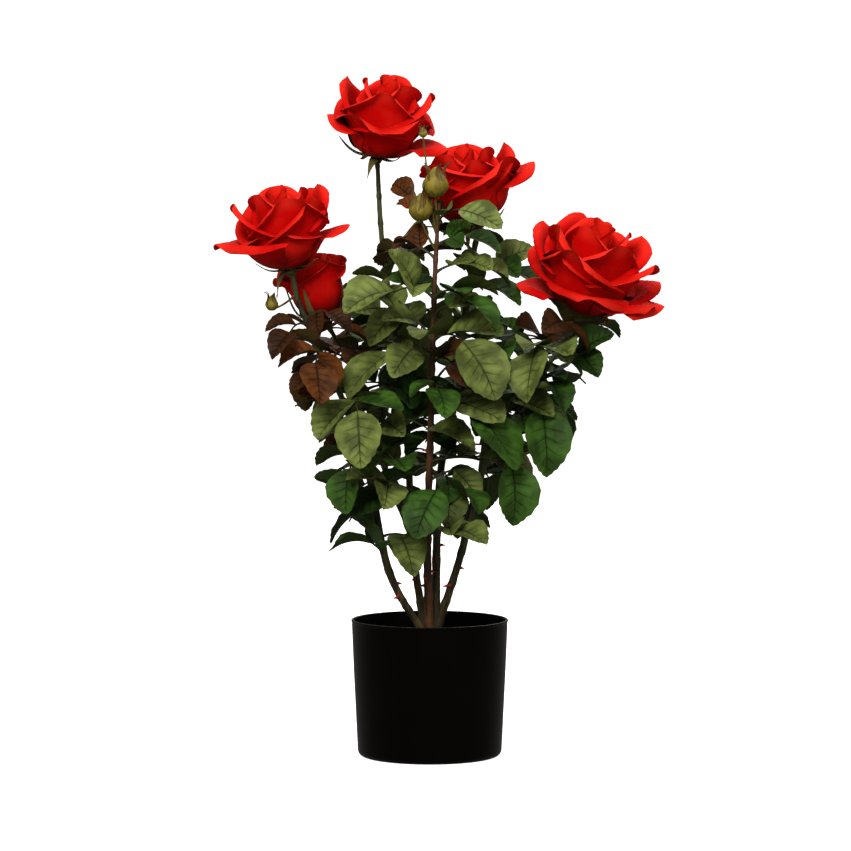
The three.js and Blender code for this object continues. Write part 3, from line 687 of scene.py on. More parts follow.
def leaf_finish(name, tint, crease_shade, shade):
    """Pressed cloth leaf: sunk midrib and soft side creases darkened with painted shade, and raised quilts between them
    paler with painted highlight.
    """
    f = Finish(name)
    side, rib = leaf_map(f)
    midrib = 1 - side.ease(0.0, 0.07)
    creases = (1 - rib.ease(0.0, 0.22)) * (1 - side.ease(0.3, 0.85))
    where = f.place()
    cloth = f.noise(where, 280, 4, 0.6)
    patch = f.noise(where, 60, 3)
    base = f.mix(patch.ease(0.36, 0.64), shade, tint)
    # Painted highlight: the raised quilts between the side creases are paler in patches.
    base = f.mix(rib.ease(0.35, 1.0) * patch.ease(0.4, 0.7) * 0.5, base, scaled(tint, 1.5))
    # Painted shade: darker towards the sunk midrib.
    base = f.mix((1 - side.ease(0.0, 0.4)) * 0.45, base, shade)
    # Painted shade: the sunk side creases and midrib take the dark crease colour.
    base = f.mix((creases * 0.32).most(midrib * 0.85), base, crease_shade)
    height = cloth * 0.3 + patch * 1.2 - creases * 0.7 - midrib
    return f.finish(base, 0.45 + 0.3 * cloth, height, 0.001, Specular_IOR_Level=0.15)


def underside_finish(name, tint):
    """Dull cloth underside with raised veins."""
    f = Finish(name)
    side, rib = leaf_map(f)
    midrib = 1 - side.ease(0.02, 0.12)
    cloth = f.noise(f.place(), 300, 4, 0.6)
    base = f.mix(cloth.ease(0.3, 0.75), tint, scaled(tint, 0.7))
    base = f.mix(midrib * 0.5, base, scaled(tint, 1.5))
    return f.finish(base, 0.75, cloth * 0.3 + midrib + (1 - rib.ease(0, 0.3)) * 0.5, 0.0005, Specular_IOR_Level=0.2)


def petal_finish(name, body, rim, foot):
    """Flocked velvet: painted shade deep at the foot, painted highlight along the rolled rims."""
    f = Finish(name)
    across, along = f.spots()
    side = abs(across - 0.5) * 2
    edge = along.most(side * (0.55 + 0.45 * along))
    where = f.place()
    nap = f.noise(where, 420, 4, 0.65)
    cloud = f.noise(where, 42, 2)
    # Painted shade: darker towards the foot, deep inside the bloom.
    base = f.mix(along.ease(0.0, 0.55), foot, body)
    # Random paler patches in the rims' painted highlight colour.
    base = f.mix(cloud.ease(0.4, 0.75) * 0.25, base, rim)
    # Painted highlight along the rolled rims and towards the tip.
    base = f.mix(edge.ease(0.8, 1.0) * 0.6, base, rim)
    pleats = (across * 46).wave() * 0.12 * along
    return f.finish(base, 0.72 + 0.16 * nap, nap * 0.35 + cloud * 0.6 + pleats, 0.0005,
                    Specular_IOR_Level=0.06, Sheen_Weight=0.06, Sheen_Roughness=0.35, Sheen_Tint=(1.0, 0.2, 0.1, 1))


def bark_finish(name, low, high, fleck):
    """Moulded bark: long grain and flecks, greener towards the tips."""
    f = Finish(name)
    height = f.node("ShaderNodeSeparateXYZ", {}, {0: f.node("ShaderNodeTexCoord", output=3)}).part(2)
    grain = f.noise(f.place((1, 1, 0.12)), 620, 5, 0.62)
    cloud = f.noise(f.place((1, 1, 0.35)), 90, 3)
    base = f.mix((height + cloud * 0.12).ease(0.17, 0.36), low, high)
    streak = f.noise(f.place((1, 1, 0.16)), 190, 3)
    base = f.mix((1 - streak.ease(0.4, 0.56)) * 0.75, base, scaled(low, 0.22))
    base = f.mix(grain.ease(0.5, 0.75) * streak.ease(0.45, 0.6) * 0.7, base, fleck)
    return f.finish(base, 0.42 + 0.35 * grain, grain * 0.8 + cloud + streak, 0.001, Specular_IOR_Level=0.3)


def skin_finish(name, tint, tip):
    """Waxy green skin of sepals, stalks and thorns, changing towards the tip."""
    f = Finish(name)
    across, along = f.spots()
    grain = f.noise(f.place(), 330, 4, 0.6)
    base = f.mix(along.ease(0.25, 1.0), tint, tip)
    base = f.mix(grain.ease(0.4, 0.75) * 0.5, base, scaled(tint, 0.5))
    return f.finish(base, 0.55 + 0.25 * grain, grain + (across * 20).wave() * 0.3, 0.0006, Specular_IOR_Level=0.35)


def hip_finish(name, tint, shade):
    """Mottled skin of the swollen hips and closed buds."""
    f = Finish(name)
    grain = f.noise(f.place(), 300, 4, 0.6)
    streak = f.noise(f.place((1, 1, 0.2)), 210, 3)
    base = f.mix(streak.ease(0.38, 0.66), tint, shade)
    base = f.mix(grain.ease(0.5, 0.8) * 0.4, base, scaled(tint, 1.3))
    return f.finish(base, 0.5 + 0.2 * grain, grain * 0.4 + streak, 0.0007, Specular_IOR_Level=0.35)


def pot_finish(name, tint, scuffed):
    """Black moulded plastic with a satin skin and faint scuffs."""
    f = Finish(name)
    skin = f.noise(f.place(), 900, 3, 0.6)
    cloud = f.noise(f.place((1, 1, 0.5)), 14, 3)
    scuff = f.noise(f.place((1, 1, 7)), 60, 5, 0.7).ease(0.62, 0.8)
    base = f.mix(cloud.ease(0.35, 0.75), tint, scaled(tint, 2))
    base = f.mix(scuff * 0.3, base, scuffed)
    return f.finish(base, 0.3 + 0.1 * skin + 0.1 * scuff, skin * 0.3 + cloud, 0.0002, Specular_IOR_Level=0.05)


def filling_finish(name, tint, crumb):
    """Dark grit with a few pale crumbs."""
    f = Finish(name)
    where = f.place()
    crumbs = f.noise(where, 260, 6, 0.7)
    clods = f.noise(where, 70, 3)
    base = f.mix(crumbs.ease(0.35, 0.7), scaled(tint, 0.2), tint)
    base = f.mix(crumbs.ease(0.71, 0.76) * 0.6, base, crumb)
    return f.finish(base, 0.95, crumbs + clods, 0.002, Specular_IOR_Level=0.2)


def stage_finish(name, tint, glow):
    """Pale paper that glows a little of itself."""
    f = Finish(name)
    grain = f.noise(f.place(), 20, 2)
    base = f.mix(grain.ease(0.3, 0.7), tint, scaled(tint, 0.99))
    return f.finish(base, 0.9, grain, 0.0001, Emission_Color=(1, 1, 1, 1), Emission_Strength=glow)


# ---- leaves ----
LEAF_VEINS = 7
LEAF_ROWS = 2 * LEAF_VEINS
LEAF_SLANT = 0.25
LEAF_ACROSS = np.array([-1, -0.52, 0, 0.52, 1])
LEAF_SEED = 9000


def tint_of(leaf, shift):
    """The colour of a leaf: the darker its tone, the further down its row of tints."""
    tone = leaf.tone + shift
    if leaf.bronze:
        return "bronze" if tone < 0.55 else "maroon"
    return "olive" if tone < 0.37 else "green" if tone < 0.68 else "deep"


def leaf_sheet(leaf, random):
    """A leaflet's upper sheet: its rows follow the side veins out to the teeth."""
    row = np.arange(LEAF_ROWS + 1)
    rib = row / LEAF_ROWS
    m, u = np.meshgrid(rib, LEAF_ACROSS, indexing="ij")
    edge = np.clip(rib + LEAF_SLANT * np.sin(math.pi * rib), 0, 1)
    smooth = np.sin(math.pi * edge ** 0.918) ** 0.667
    tooth = np.where(row % 2 == 0, 1.0, -1.0)
    wide = np.clip(smooth * (1.03 + 0.018 * tooth), 0.016, 2)
    wide[0], wide[-1] = 0.035, 0.02
    along = m + LEAF_SLANT * np.abs(u) * np.sin(math.pi * m)
    along = along + 0.012 * (np.abs(u) == 1) * tooth[:, None] * np.sin(math.pi * m)
    across = u * wide[:, None]
    front = leaf.points(along, across)
    quilt = np.where(row % 2 == 1, 1.0, -0.35)[:, None] * np.sin(math.pi * np.clip(m, 0.04, 0.96))
    puff = quilt * np.sin(math.pi * np.abs(u) ** 0.8) * 0.024
    rise = puff - 0.012 * (u == 0)
    phase = m * (1.5 + random.next()) + random.next()
    swell = 0.012 * np.sin(2 * math.pi * phase) * np.sign(u) * np.abs(u) ** 2
    twist = math.radians(random.spread(38))
    cup = 0.12 * random.next()
    lean = HALF_WIDTH * across * np.tan(twist * m) + cup * across ** 2 * np.sin(math.pi * m)
    lift = (rise + swell + lean) * leaf.size
    bend = leaf.arch * along
    normal = np.cos(bend)[..., None] * leaf.face + np.sin(bend)[..., None] * leaf.ahead
    spots = np.stack([(u + 1) / 2, m], -1)
    return front + lift[..., None] * normal, spots


def model_leaves(looks):
    """Every leaf, joined by colour, each with its upper and under side."""
    clusters = {tint: Cluster() for tint in ("olive", "green", "deep", "bronze", "maroon")}
    for i, leaf in enumerate(grown_foliage()[0]):
        random = Seeded(LEAF_SEED + i)
        front, spots = leaf_sheet(leaf, random)
        clusters[tint_of(leaf, random.spread(0.16))].sheet(front, looks.thickness / MM, spots)
    for tint, cluster in clusters.items():
        body = tuple(getattr(looks, tint))
        # The darkest colour is the painted shade in the creases and midrib; the middle one gives random mottle and the
        # painted shade beside the midrib.
        upper = leaf_finish("leaf_" + tint, body, scaled(body, 0.2), scaled(body, 0.45))
        pale = tuple(0.5 * c + 0.5 * g for c, g in zip(body, looks.underside))
        under = underside_finish("leaf_" + tint + "_under", pale)
        cluster.piece("leaves_" + tint, [upper, under], "foliage", *MASSES)


def model_twigs(looks):
    """The leaves' stalks, thickened where they leave their cane."""
    stalks = Cluster()
    t = np.linspace(0, 1, 13)
    for line in grown_foliage()[1]:
        fine = np.array([smooth_line(line, share) for share in t])
        stalks.tube(fine, looks.twig / 2 / MM * (0.9 + 1.3 * np.exp(-9 * t) + 0.5 * (1 - t)), 6)
    skin = skin_finish("twig_skin", tuple(looks.stalk), scaled(looks.stalk, 0.8))
    stalks.piece("twigs", [skin], "foliage", *MASSES)


# ---- petals ----
PETAL_ROWS, PETAL_COLUMNS = 18, 20
WAIST = 0.45
# How far a rolled margin turns, in radians, and how far past its length a petal may reach.
ROLL_TURN = 2.1
PETAL_REACH = 1.15
PROFILE_STEPS = 24


def directions(turn):
    """Outwards and sideways at `turn` degrees round the axis."""
    azimuth = math.radians(turn)
    return vec(math.cos(azimuth), math.sin(azimuth), 0), vec(-math.sin(azimuth), math.cos(azimuth), 0)


def lean_at(lean, share):
    """Lean in radians at some shares of the length, from the lean at foot, waist and tip."""
    foot, waist, tip = lean
    return np.radians(np.where(share < WAIST, foot + (waist - foot) * share / WAIST,
                               waist + (tip - waist) * (share - WAIST) / (1 - WAIST)))


def petal_sheet(turn, lean, length, width, foot, rise, cup, roll, random, tuck, fold, corner):
    """A cupped petal whose two upper margins roll back to a point, outside first."""
    u = np.linspace(-1, 1, PETAL_COLUMNS + 1)
    v = np.linspace(0, 1, PETAL_ROWS + 1) ** 0.9
    v, u = np.meshgrid(v, u, indexing="ij")
    spots = np.stack([(u + 1) / 2, v], -1)
    grow = 0.24 + 0.76 * np.sin(math.pi / 2 * np.clip(v / 0.8, 0, 1)) ** 0.9
    skew = random.spread(0.06)
    x = u * width * grow * (1 + skew * u)
    y = length * v * (1 - corner * np.abs(u) ** 2.4 * v ** 1.5)
    ripple = random.next() * 6
    beta = math.radians(fold)
    out_x, out_y = math.sin(beta), math.cos(beta)
    wave = 1 + 0.25 * np.sin(ripple + 2.3 * u)
    past = np.clip(np.abs(x) * out_x + (y - length * 0.985) * out_y, 0, None)
    radius = roll * wave
    turned = np.clip(past / radius, 0, ROLL_TURN)
    shift = radius * np.sin(turned) - past
    h = radius * (1 - np.cos(turned))
    x = x + np.sign(u) * shift * out_x
    y = y + shift * out_y
    h = h + length * 0.012 * np.sin(ripple * 2 + 3.2 * u + 4 * v) * v
    share = np.linspace(0, PETAL_REACH, PROFILE_STEPS)
    angles = lean_at(lean, np.clip(share, 0, 1))
    ds = length * PETAL_REACH / (PROFILE_STEPS - 1)
    r_line, z_line = (start + np.concatenate([[0], np.cumsum((part[1:] + part[:-1]) / 2 * ds)])
                      for start, part in ((foot, np.sin(angles)), (rise, np.cos(angles))))
    s = np.clip(y / length, 0, PETAL_REACH)
    r, z, theta = np.interp(s, share, r_line), np.interp(s, share, z_line), np.interp(s, share, angles)
    arc = cup * np.clip(np.abs(r) / np.maximum(np.cos(theta), 0.35), 6, 80)
    phi = np.clip(x / arc, -2.6, 2.6)
    r = r + tuck * phi
    out, side = directions(turn)
    n_out, n_up = np.cos(theta), -np.sin(theta)
    inward = arc * (1 - np.cos(phi))
    outward = h * np.cos(phi) - inward
    sideways = arc * np.sin(phi) + h * np.sin(phi)
    points = (r + outward * n_out)[..., None] * out + sideways[..., None] * side + (z + outward * n_up)[..., None] * UP
    return points, spots


# Petals of each bloom's outer ring: turn, lean at foot, waist and tip, then length and
# half width in radii of the bloom, and how sharply the margins fold to a point.
OUTER_PETALS = {
    "bloom_top": [
        (100, 90, 24, 40, 1.2, 0.8, 42), (44, 90, 28, 52, 1.2, 0.8, 40), (348, 90, 48, 100, 1.2, 0.55, 48),
        (140, 90, 26, 40, 1.2, 0.8, 44), (186, 90, 24, 80, 1.12, 0.6, 48), (318, 88, 20, 42, 1.26, 0.95, 42),
        (236, 90, 20, 46, 1.2, 0.95, 42),
    ],
    "bloom_upper_right": [
        (95, 90, 26, 40, 1.2, 0.8, 42), (45, 88, 26, 56, 1.22, 0.8, 40), (186, 90, 36, 84, 1.34, 0.66, 48),
        (6, 84, 26, 74, 1.32, 0.7, 48), (228, 90, 10, 14, 1.5, 1.05, 36), (318, 88, 14, 34, 1.42, 1.0, 46),
    ],
    "bloom_left": [
        (100, 88, 24, 40, 1.2, 0.8, 42), (2, 84, 34, 88, 1.26, 0.5, 52), (46, 78, 12, 20, 1.54, 0.6, 50),
        (140, 84, 20, 34, 1.3, 0.8, 42), (318, 84, 12, 14, 1.5, 1.0, 50), (207, 86, 34, 84, 1.5, 1.05, 46),
        (258, 90, 20, 30, 1.06, 1.0, 36),
    ],
    "bloom_left_low": [
        (60, 66, 8, 2, 2.3, 1.4, 38), (132, 66, 8, 2, 2.3, 1.4, 38), (202, 56, 18, 40, 2.1, 0.9, 44),
        (335, 66, 8, 6, 2.25, 1.4, 38), (262, 66, 8, -6, 2.4, 1.6, 32),
    ],
    "bloom_right": [
        (104, 88, 30, 56, 1.2, 0.8, 46), (60, 88, 34, 70, 1.2, 0.78, 46), (150, 86, 30, 60, 1.22, 0.8, 46),
        (-8, 90, 50, 84, 1.26, 0.62, 52), (18, 88, 38, 72, 1.3, 0.62, 52), (186, 88, 56, 106, 1.02, 0.55, 46),
        (222, 84, 14, 30, 1.3, 0.9, 44), (334, 88, 44, 82, 1.2, 0.66, 50), (272, 90, 30, 96, 1.16, 0.7, 46),
    ],
}
# Rings of petals inside it, from the heart outwards: how many, lean at foot, waist and tip,
# then length and half width in heights of the bloom, distance from the axis and tuck.
RINGS = {
    "closed": [
        (2, (5, 1, -9), 0.9, 0.15, 1.2, 0.5), (3, (14, 1, -6), 0.93, 0.26, 3, 0.8), (4, (44, 4, -6), 0.97, 0.4, 4, 0.8),
    ],
    "open": [
        (2, (5, 1, -9), 0.93, 0.16, 1.2, 0.5), (3, (16, 1, -6), 0.98, 0.28, 3, 0.8),
        (3, (52, 4, -2), 0.99, 0.48, 4.5, 0.8), (4, (84, 12, 10), 1.07, 0.62, 5.5, 0.9),
    ],
    "wide open": [
        (2, (5, 1, -9), 0.92, 0.15, 1.2, 0.5), (3, (16, 1, -4), 0.97, 0.27, 3, 0.8),
        (3, (44, 6, 2), 0.98, 0.44, 4.5, 0.8), (4, (70, 12, 14), 1.02, 0.56, 5.5, 1.0),
        (4, (84, 20, 34), 0.98, 0.56, 5.8, 1.2),
    ],
}
# Turn of the broad petal that closes each bloom's cup towards the front.
FRONT_PETAL = {
    "bloom_top": 262, "bloom_upper_right": 284, "bloom_left": 288, "bloom_left_low": 250, "bloom_right": 246,
}
RING_TURN = 52
# How far a bloom's weight bends the tip of its cane.
NOD = {"cane_back_right": (-7, -2, -8), "cane_back_left": (0, 0, -2)}


def openness(name):
    """Which rings of petals a bloom has."""
    share = BLOOMS[name].open
    return "closed" if share < 0.3 else "wide open" if share > 0.9 else "open"


def bloom_petals(name, roll):
    """The sheets of one bloom, from its heart outwards."""
    radius, height = BLOOMS[name].radius, BLOOMS[name].height
    random = Seeded(sum(ord(letter) for letter in name))
    rings = RINGS[openness(name)]
    sheets = []
    for ring, (count, lean, length, width, foot, tuck) in enumerate(rings):
        first = FRONT_PETAL[name] + RING_TURN * (len(rings) - 1 - ring)
        for k in range(count):
            turn = first + 360 / count * k + random.spread(7)
            tall = height * length * (1 + random.spread(0.02))
            sheets.append(petal_sheet(turn, lean, tall, height * width, foot, rise=2, cup=0.97, roll=roll,
                                      random=random, tuck=tuck, fold=47, corner=0.24))
    for turn, low, middle, high, length, width, fold in OUTER_PETALS[name]:
        sheets.append(petal_sheet(turn, (low, middle, high), radius * length, radius * width, foot=6, rise=1.5,
                                  cup=1.0, roll=roll * 1.05, random=random, tuck=1.4, fold=fold, corner=0.27))
    return sheets


def bloom_frame(name):
    """How a bloom is turned, and the tip of its cane."""
    limb = BLOOMS[name].limb
    turn = Vector((0, 0, 1)).rotation_difference(Vector(BLOOMS[name].axis)).to_matrix()
    return np.array(turn), limb_point(limb, 1) + vec(*NOD.get(limb, (0, 0, 0)))


def placed(points, turn, origin):
    """Points of a bloom's frame, in their place on the plant."""
    return points @ turn.T + origin


RIBBON_ROWS, RIBBON_COLUMNS, RIBBON_CUP = 12, 4, 0.3
SEPAL_THICK, BUD_SEPAL_THICK = 0.7, 0.5


def ribbon_sheet(turn, leans, length, width, foot, rise, twist):
    """A narrow curling blade such as a sepal, in its bloom's frame."""
    share = np.linspace(0, 1, RIBBON_ROWS + 1)
    angles = np.radians(np.interp(share, np.linspace(0, 1, len(leans)), leans))
    ds = length / RIBBON_ROWS
    mid = np.concatenate([[0], (angles[1:] + angles[:-1]) / 2])
    r = foot + np.cumsum(np.sin(mid) * ds * (share > 0))
    z = rise + np.cumsum(np.cos(mid) * ds * (share > 0))
    half = (width / 2 * np.interp(share, [0, 0.2, 0.6, 1], [0.9, 1, 0.6, 0.06]))[:, None]
    u = np.linspace(-1, 1, RIBBON_COLUMNS + 1)[None, :]
    out, side = directions(turn)
    spin = math.radians(twist) * share ** 2
    normal = np.cos(angles)[:, None] * out - np.sin(angles)[:, None] * UP
    across = np.cos(spin)[:, None] * side + np.sin(spin)[:, None] * normal
    over = -np.sin(spin)[:, None] * side + np.cos(spin)[:, None] * normal
    core = r[:, None] * out + z[:, None] * UP
    sunk = RIBBON_CUP * half * u ** 2
    points = core[:, None] + (u * half)[..., None] * across[:, None] - sunk[..., None] * over[:, None]
    return points, np.stack(np.broadcast_arrays((u + 1) / 2, share[:, None]), -1)


def model_petals(looks):
    """The petals of every bloom."""
    petals = Cluster()
    for name in BLOOMS:
        turn, origin = bloom_frame(name)
        for front, spots in bloom_petals(name, looks.roll / MM):
            petals.sheet(placed(front, turn, origin), looks.thickness / MM, spots)
    # The rim colour is the petals' painted highlight and the foot colour their painted shade.
    velvet = petal_finish("petal_velvet", tuple(looks.body), tuple(looks.rim), tuple(looks.foot))
    petals.piece("petals", [velvet, velvet], "bloom", *BLOOMS)


def model_sepals(looks):
    """The five curling sepals that hug each bloom from below."""
    green = Cluster()
    for name in BLOOMS:
        turn, origin = bloom_frame(name)
        random = Seeded(77 + len(name))
        for k in range(5):
            if openness(name) == "closed":
                leans, twist = [84, 56, 16, 0, 14 + random.spread(30)], random.spread(60)
            elif k % 2:
                leans, twist = [88, 100, 120, 150 + random.spread(30), 110 + random.spread(50)], random.spread(120)
            else:
                leans, twist = [94, 88, 64, 46, 60 + random.spread(40)], random.spread(40)
            place = 36 + 72 * k + random.spread(10)
            length = looks.sepal / MM * (1 if leans[0] > 86 else 1.5) + random.spread(5)
            front, spots = ribbon_sheet(place, leans, length, width=9, foot=4.5, rise=-0.6, twist=twist)
            green.sheet(placed(front, turn, origin), SEPAL_THICK, spots)
    skin = skin_finish("sepal_skin", tuple(looks.sepal_tint), tuple(looks.sepal_tip))
    green.piece("sepals", [skin, skin], "bloom", *BLOOMS)


def model_hips(looks):
    """The small green swellings that the petals stand on."""
    hips = []
    t = np.linspace(0, 1, 10)
    for name in BLOOMS:
        turn, origin = bloom_frame(name)
        line = placed(np.stack([0 * t, 0 * t, -7 + 12 * t], -1), turn, origin)
        hips.append(drawn_out(name + "_hip", line, 2.2 + 3.4 * np.sin(math.pi * t ** 0.8 * 0.8), 14))
    skin = hip_finish("hip_skin", scaled(looks.sepal_tint, 0.8), scaled(looks.sepal_tint, 0.4))
    joined("hips", hips, skin, "bloom", *BLOOMS)


def model_buds(looks):
    """The unopened buds with their stalks and sepals."""
    bodies, stalks, sepals = [], [], Cluster()
    t = np.linspace(0, 1, 14)
    for name, (limb, start, foot, length, radius) in BUDS.items():
        random = Seeded(len(name) * 31 + int(length))
        root, end = limb_point(limb, start), vec(*foot)
        bow = (root + end) / 2 - UP * 0.12 * np.linalg.norm(root - end)
        u = t[:, None]
        stalk = root * (1 - u) ** 2 + bow * 2 * u * (1 - u) + (end + UP) * u ** 2
        thick = np.linspace(1.25, 0.9, len(t)) * (1 if radius > 5 else 0.75)
        stalks.append(drawn_out(name + "_stalk", stalk, thick, 8))
        line = end + np.stack([0 * t, 0 * t, t * length], -1)
        body = np.interp(t, [0, 0.12, 0.32, 0.5, 0.75, 0.92, 1], [0.3, 0.72, 1, 0.96, 0.6, 0.26, 0.08]) * radius
        bodies.append(drawn_out(name, line, body, 16))
        for k in range(5):
            leans = [62, 24, -10, -22, 25, 78 + random.spread(35)]
            place = 72 * k + random.spread(8)
            long = length * (1.25 + 0.25 * random.next())
            front, spots = ribbon_sheet(place, leans, long, width=radius * 1.05, foot=radius * 0.42, rise=0.2,
                                        twist=random.spread(90))
            sepals.sheet(front + end, BUD_SEPAL_THICK, spots)
    nodes = ("foliage_front_top", "foliage_left_high")
    skin = hip_finish("bud_skin", tuple(looks.bud_tint), scaled(looks.bud_tint, 0.6))
    joined("buds", bodies, skin, "foliage", *nodes)
    skin = hip_finish("stalk_skin", scaled(looks.bud_tint, 0.45), scaled(looks.bud_tint, 0.3))
    joined("bud_stalks", stalks, skin, "foliage", *nodes)
    skin = skin_finish("bud_sepal_skin", scaled(looks.bud_tint, 0.55), (0.14, 0.06, 0.02))
    sepals.piece("bud_sepals", [skin, skin], "foliage", *nodes)


# ---- shapes drawn out of a circle ----
def only(thing):
    """Selects nothing but this piece."""
    bpy.ops.object.select_all(action="DESELECT")
    thing.select_set(True)
    bpy.context.view_layer.objects.active = thing


def disc(name, sides, radius, spot, turn=(0, 0, 0)):
    """Adds a disc that the next steps draw out, all selected in edit mode."""
    bpy.ops.object.select_all(action="DESELECT")
    bpy.ops.mesh.primitive_circle_add(vertices=sides, radius=radius, fill_type="NGON", location=spot, rotation=turn)
    thing = bpy.context.object
    thing.name = thing.data.name = name
    bpy.ops.object.transform_apply(location=True, rotation=True, scale=True)
    bpy.ops.object.mode_set(mode="EDIT")
    bpy.ops.mesh.select_all(action="SELECT")
    return thing


def face_outwards():
    """Turns all faces outwards and leaves edit mode."""
    bpy.ops.mesh.select_all(action="SELECT")
    bpy.ops.mesh.normals_make_consistent(inside=False)
    bpy.ops.object.mode_set(mode="OBJECT")


def drawn_out(name, line, radii, sides):
    """A closed stem: a disc drawn out ring by ring along `line`, in millimetres."""
    line = [Vector(point) * MM for point in line]
    headings = [(b - a).normalized() for a, b in zip(line, line[1:])]
    headings = [headings[0]] + [(a + b).normalized() for a, b in zip(headings, headings[1:])] + [headings[-1]]
    turn = Vector((0, 0, 1)).rotation_difference(headings[0]).to_euler()
    thing = disc(name, sides, radii[0] * MM, line[0], turn)
    for i in range(1, len(line)):
        bpy.ops.mesh.extrude_region_move(TRANSFORM_OT_translate={"value": line[i] - line[i - 1]})
        grow = radii[i] / radii[i - 1]
        bpy.ops.transform.resize(value=(grow, grow, grow), center_override=line[i])
        axis = headings[i - 1].cross(headings[i])
        if axis.length > 1e-5:
            frame_of = Vector((0, 0, 1)).rotation_difference(axis.normalized()).to_matrix()
            bpy.ops.transform.rotate(value=-headings[i - 1].angle(headings[i]), orient_axis="Z",
                                     orient_matrix=frame_of, orient_matrix_type="GLOBAL", center_override=line[i])
    face_outwards()
    return thing


def joined(name, things, finish, slot, *nodes):
    """Joins the stems as one finished piece that rides on the plant."""
    bpy.ops.object.select_all(action="DESELECT")
    for thing in things:
        thing.select_set(True)
    bpy.context.view_layer.objects.active = things[0]
    bpy.ops.object.join()
    thing = bpy.context.object
    thing.name = thing.data.name = name
    thing.data.materials.append(finish)
    bpy.ops.object.shade_smooth_by_angle(angle=math.radians(60))
    hand_over(thing, slot, *nodes)
    return thing


def turned(name, profile, sides=128):
    """A shape drawn out of a disc round the upright axis, from the edge `profile` in millimetres."""
    thing = disc(name, sides, profile[0][0] * MM, (0, 0, profile[0][1] * MM))
    for (r0, z0), (r1, z1) in zip(profile, profile[1:]):
        bpy.ops.mesh.extrude_region_move(TRANSFORM_OT_translate={"value": (0, 0, (z1 - z0) * MM)})
        bpy.ops.transform.resize(value=(r1 / r0, r1 / r0, 1), center_override=(0, 0, z1 * MM))
    face_outwards()
    bpy.ops.object.shade_smooth_by_angle(angle=math.radians(30))
    return thing


def relief(thing, grain_size, strength, group=None, middle=0.5):
    """Raises a cloudy grain out of the surface and applies it."""
    grain = bpy.data.textures.new(thing.name + "_grain", "CLOUDS")
    grain.noise_scale, grain.noise_depth = grain_size, 2
    only(thing)
    bpy.ops.object.modifier_add(type="DISPLACE")
    modifier = thing.modifiers[-1]
    modifier.texture, modifier.strength, modifier.mid_level = grain, strength, middle
    if group:
        modifier.vertex_group = group
    bpy.ops.object.modifier_apply(modifier=modifier.name)


# ---- canes ----
JOINTS = 14
CANE_SIDES = 16
THORNS = 7
BARK_GRAIN = 0.006


def cane(name, looks):
    """One cane with a flared foot and swollen leaf joints."""
    span = np.linalg.norm(np.diff(LIMB_LINES[name], axis=0), axis=1).sum()
    shares = np.linspace(0, 1, int(span * MM / looks.ring))
    line = np.array([limb_point(name, share) for share in shares])
    line = line + (np.clip((shares - 0.75) / 0.25, 0, 1) ** 2)[:, None] * vec(*NOD.get(name, (0, 0, 0)))
    random = Seeded(len(name) * 7)
    swell = 0 * shares
    for k in range(JOINTS):
        centre = (k + 0.5) / JOINTS + random.spread(0.02)
        swell += looks.joint / MM * np.exp(-((shares - centre) * span / 2.8) ** 2)
    radii = limb_radius(name, shares) + swell + 1.1 * np.exp(-shares * span / 14)
    if name.startswith("cane"):
        line = np.concatenate([line[:1] - 6 * UP, line])
        radii = np.concatenate([radii[:1], radii])
    return drawn_out(name, line, radii, CANE_SIDES)


def model_canes(looks):
    """The main canes and the side branch: olive ones and the reddish front one."""
    green = [name for name in LIMBS if name != "cane_front"]
    bark = bark_finish("bark_olive", tuple(looks.low), tuple(looks.high), tuple(looks.fleck))
    foot = limb_point("cane_right", 0.46)
    line = [foot + vec(0.12 * k, 0, k) for k in np.linspace(0, looks.stub / MM, 10)]
    canes = [drawn_out("cane_stub", line, np.linspace(3.9, 3.6, len(line)), CANE_SIDES)]
    canes += [cane(name, looks) for name in green]
    relief(joined("canes_olive", canes, bark, "cane", "crown", *green), BARK_GRAIN, looks.relief)
    bark = bark_finish("bark_brown", tuple(looks.front), scaled(looks.front, 0.9), scaled(looks.front, 2))
    front = joined("canes_brown", [cane("cane_front", looks)], bark, "cane", "cane_front")
    relief(front, BARK_GRAIN, looks.relief)


def model_thorns(looks):
    """Hooked thorns on the canes."""
    thorns = Cluster()
    t = np.linspace(0, 1, 7)
    for name, turn in THORN_TURN.items():
        end = min(mass.start for mass in MASSES.values() if mass.limb == name)
        for i in range(THORNS):
            if i < 3:
                share = CROWN_SHARE + (end - CROWN_SHARE) * (0.3 + 0.25 * i)
            else:
                share = CROWN_SHARE + (0.72 - CROWN_SHARE) * (i - 2.5) / 4.5
            out = unit(directions(turn + GOLDEN * i)[0] + 0.25 * UP)
            reach = limb_radius(name, share) * 0.7 + looks.thorn / MM * t
            line = limb_point(name, share) + out * reach[:, None] - UP * (2.2 * t ** 2)[:, None]
            thorns.tube(line, 1.7 * (1 - t) ** 0.8 + 0.06, 8)
    skin = skin_finish("thorn_skin", tuple(looks.thorn_tint), scaled(looks.thorn_tint, 2.2))
    thorns.piece("thorns", [skin], "cane", *THORN_TURN)


# ---- pot and filling ----
def wall_radius(sizes, z):
    return (sizes.foot + (sizes.rim - sizes.foot) * z * MM / sizes.height) / MM


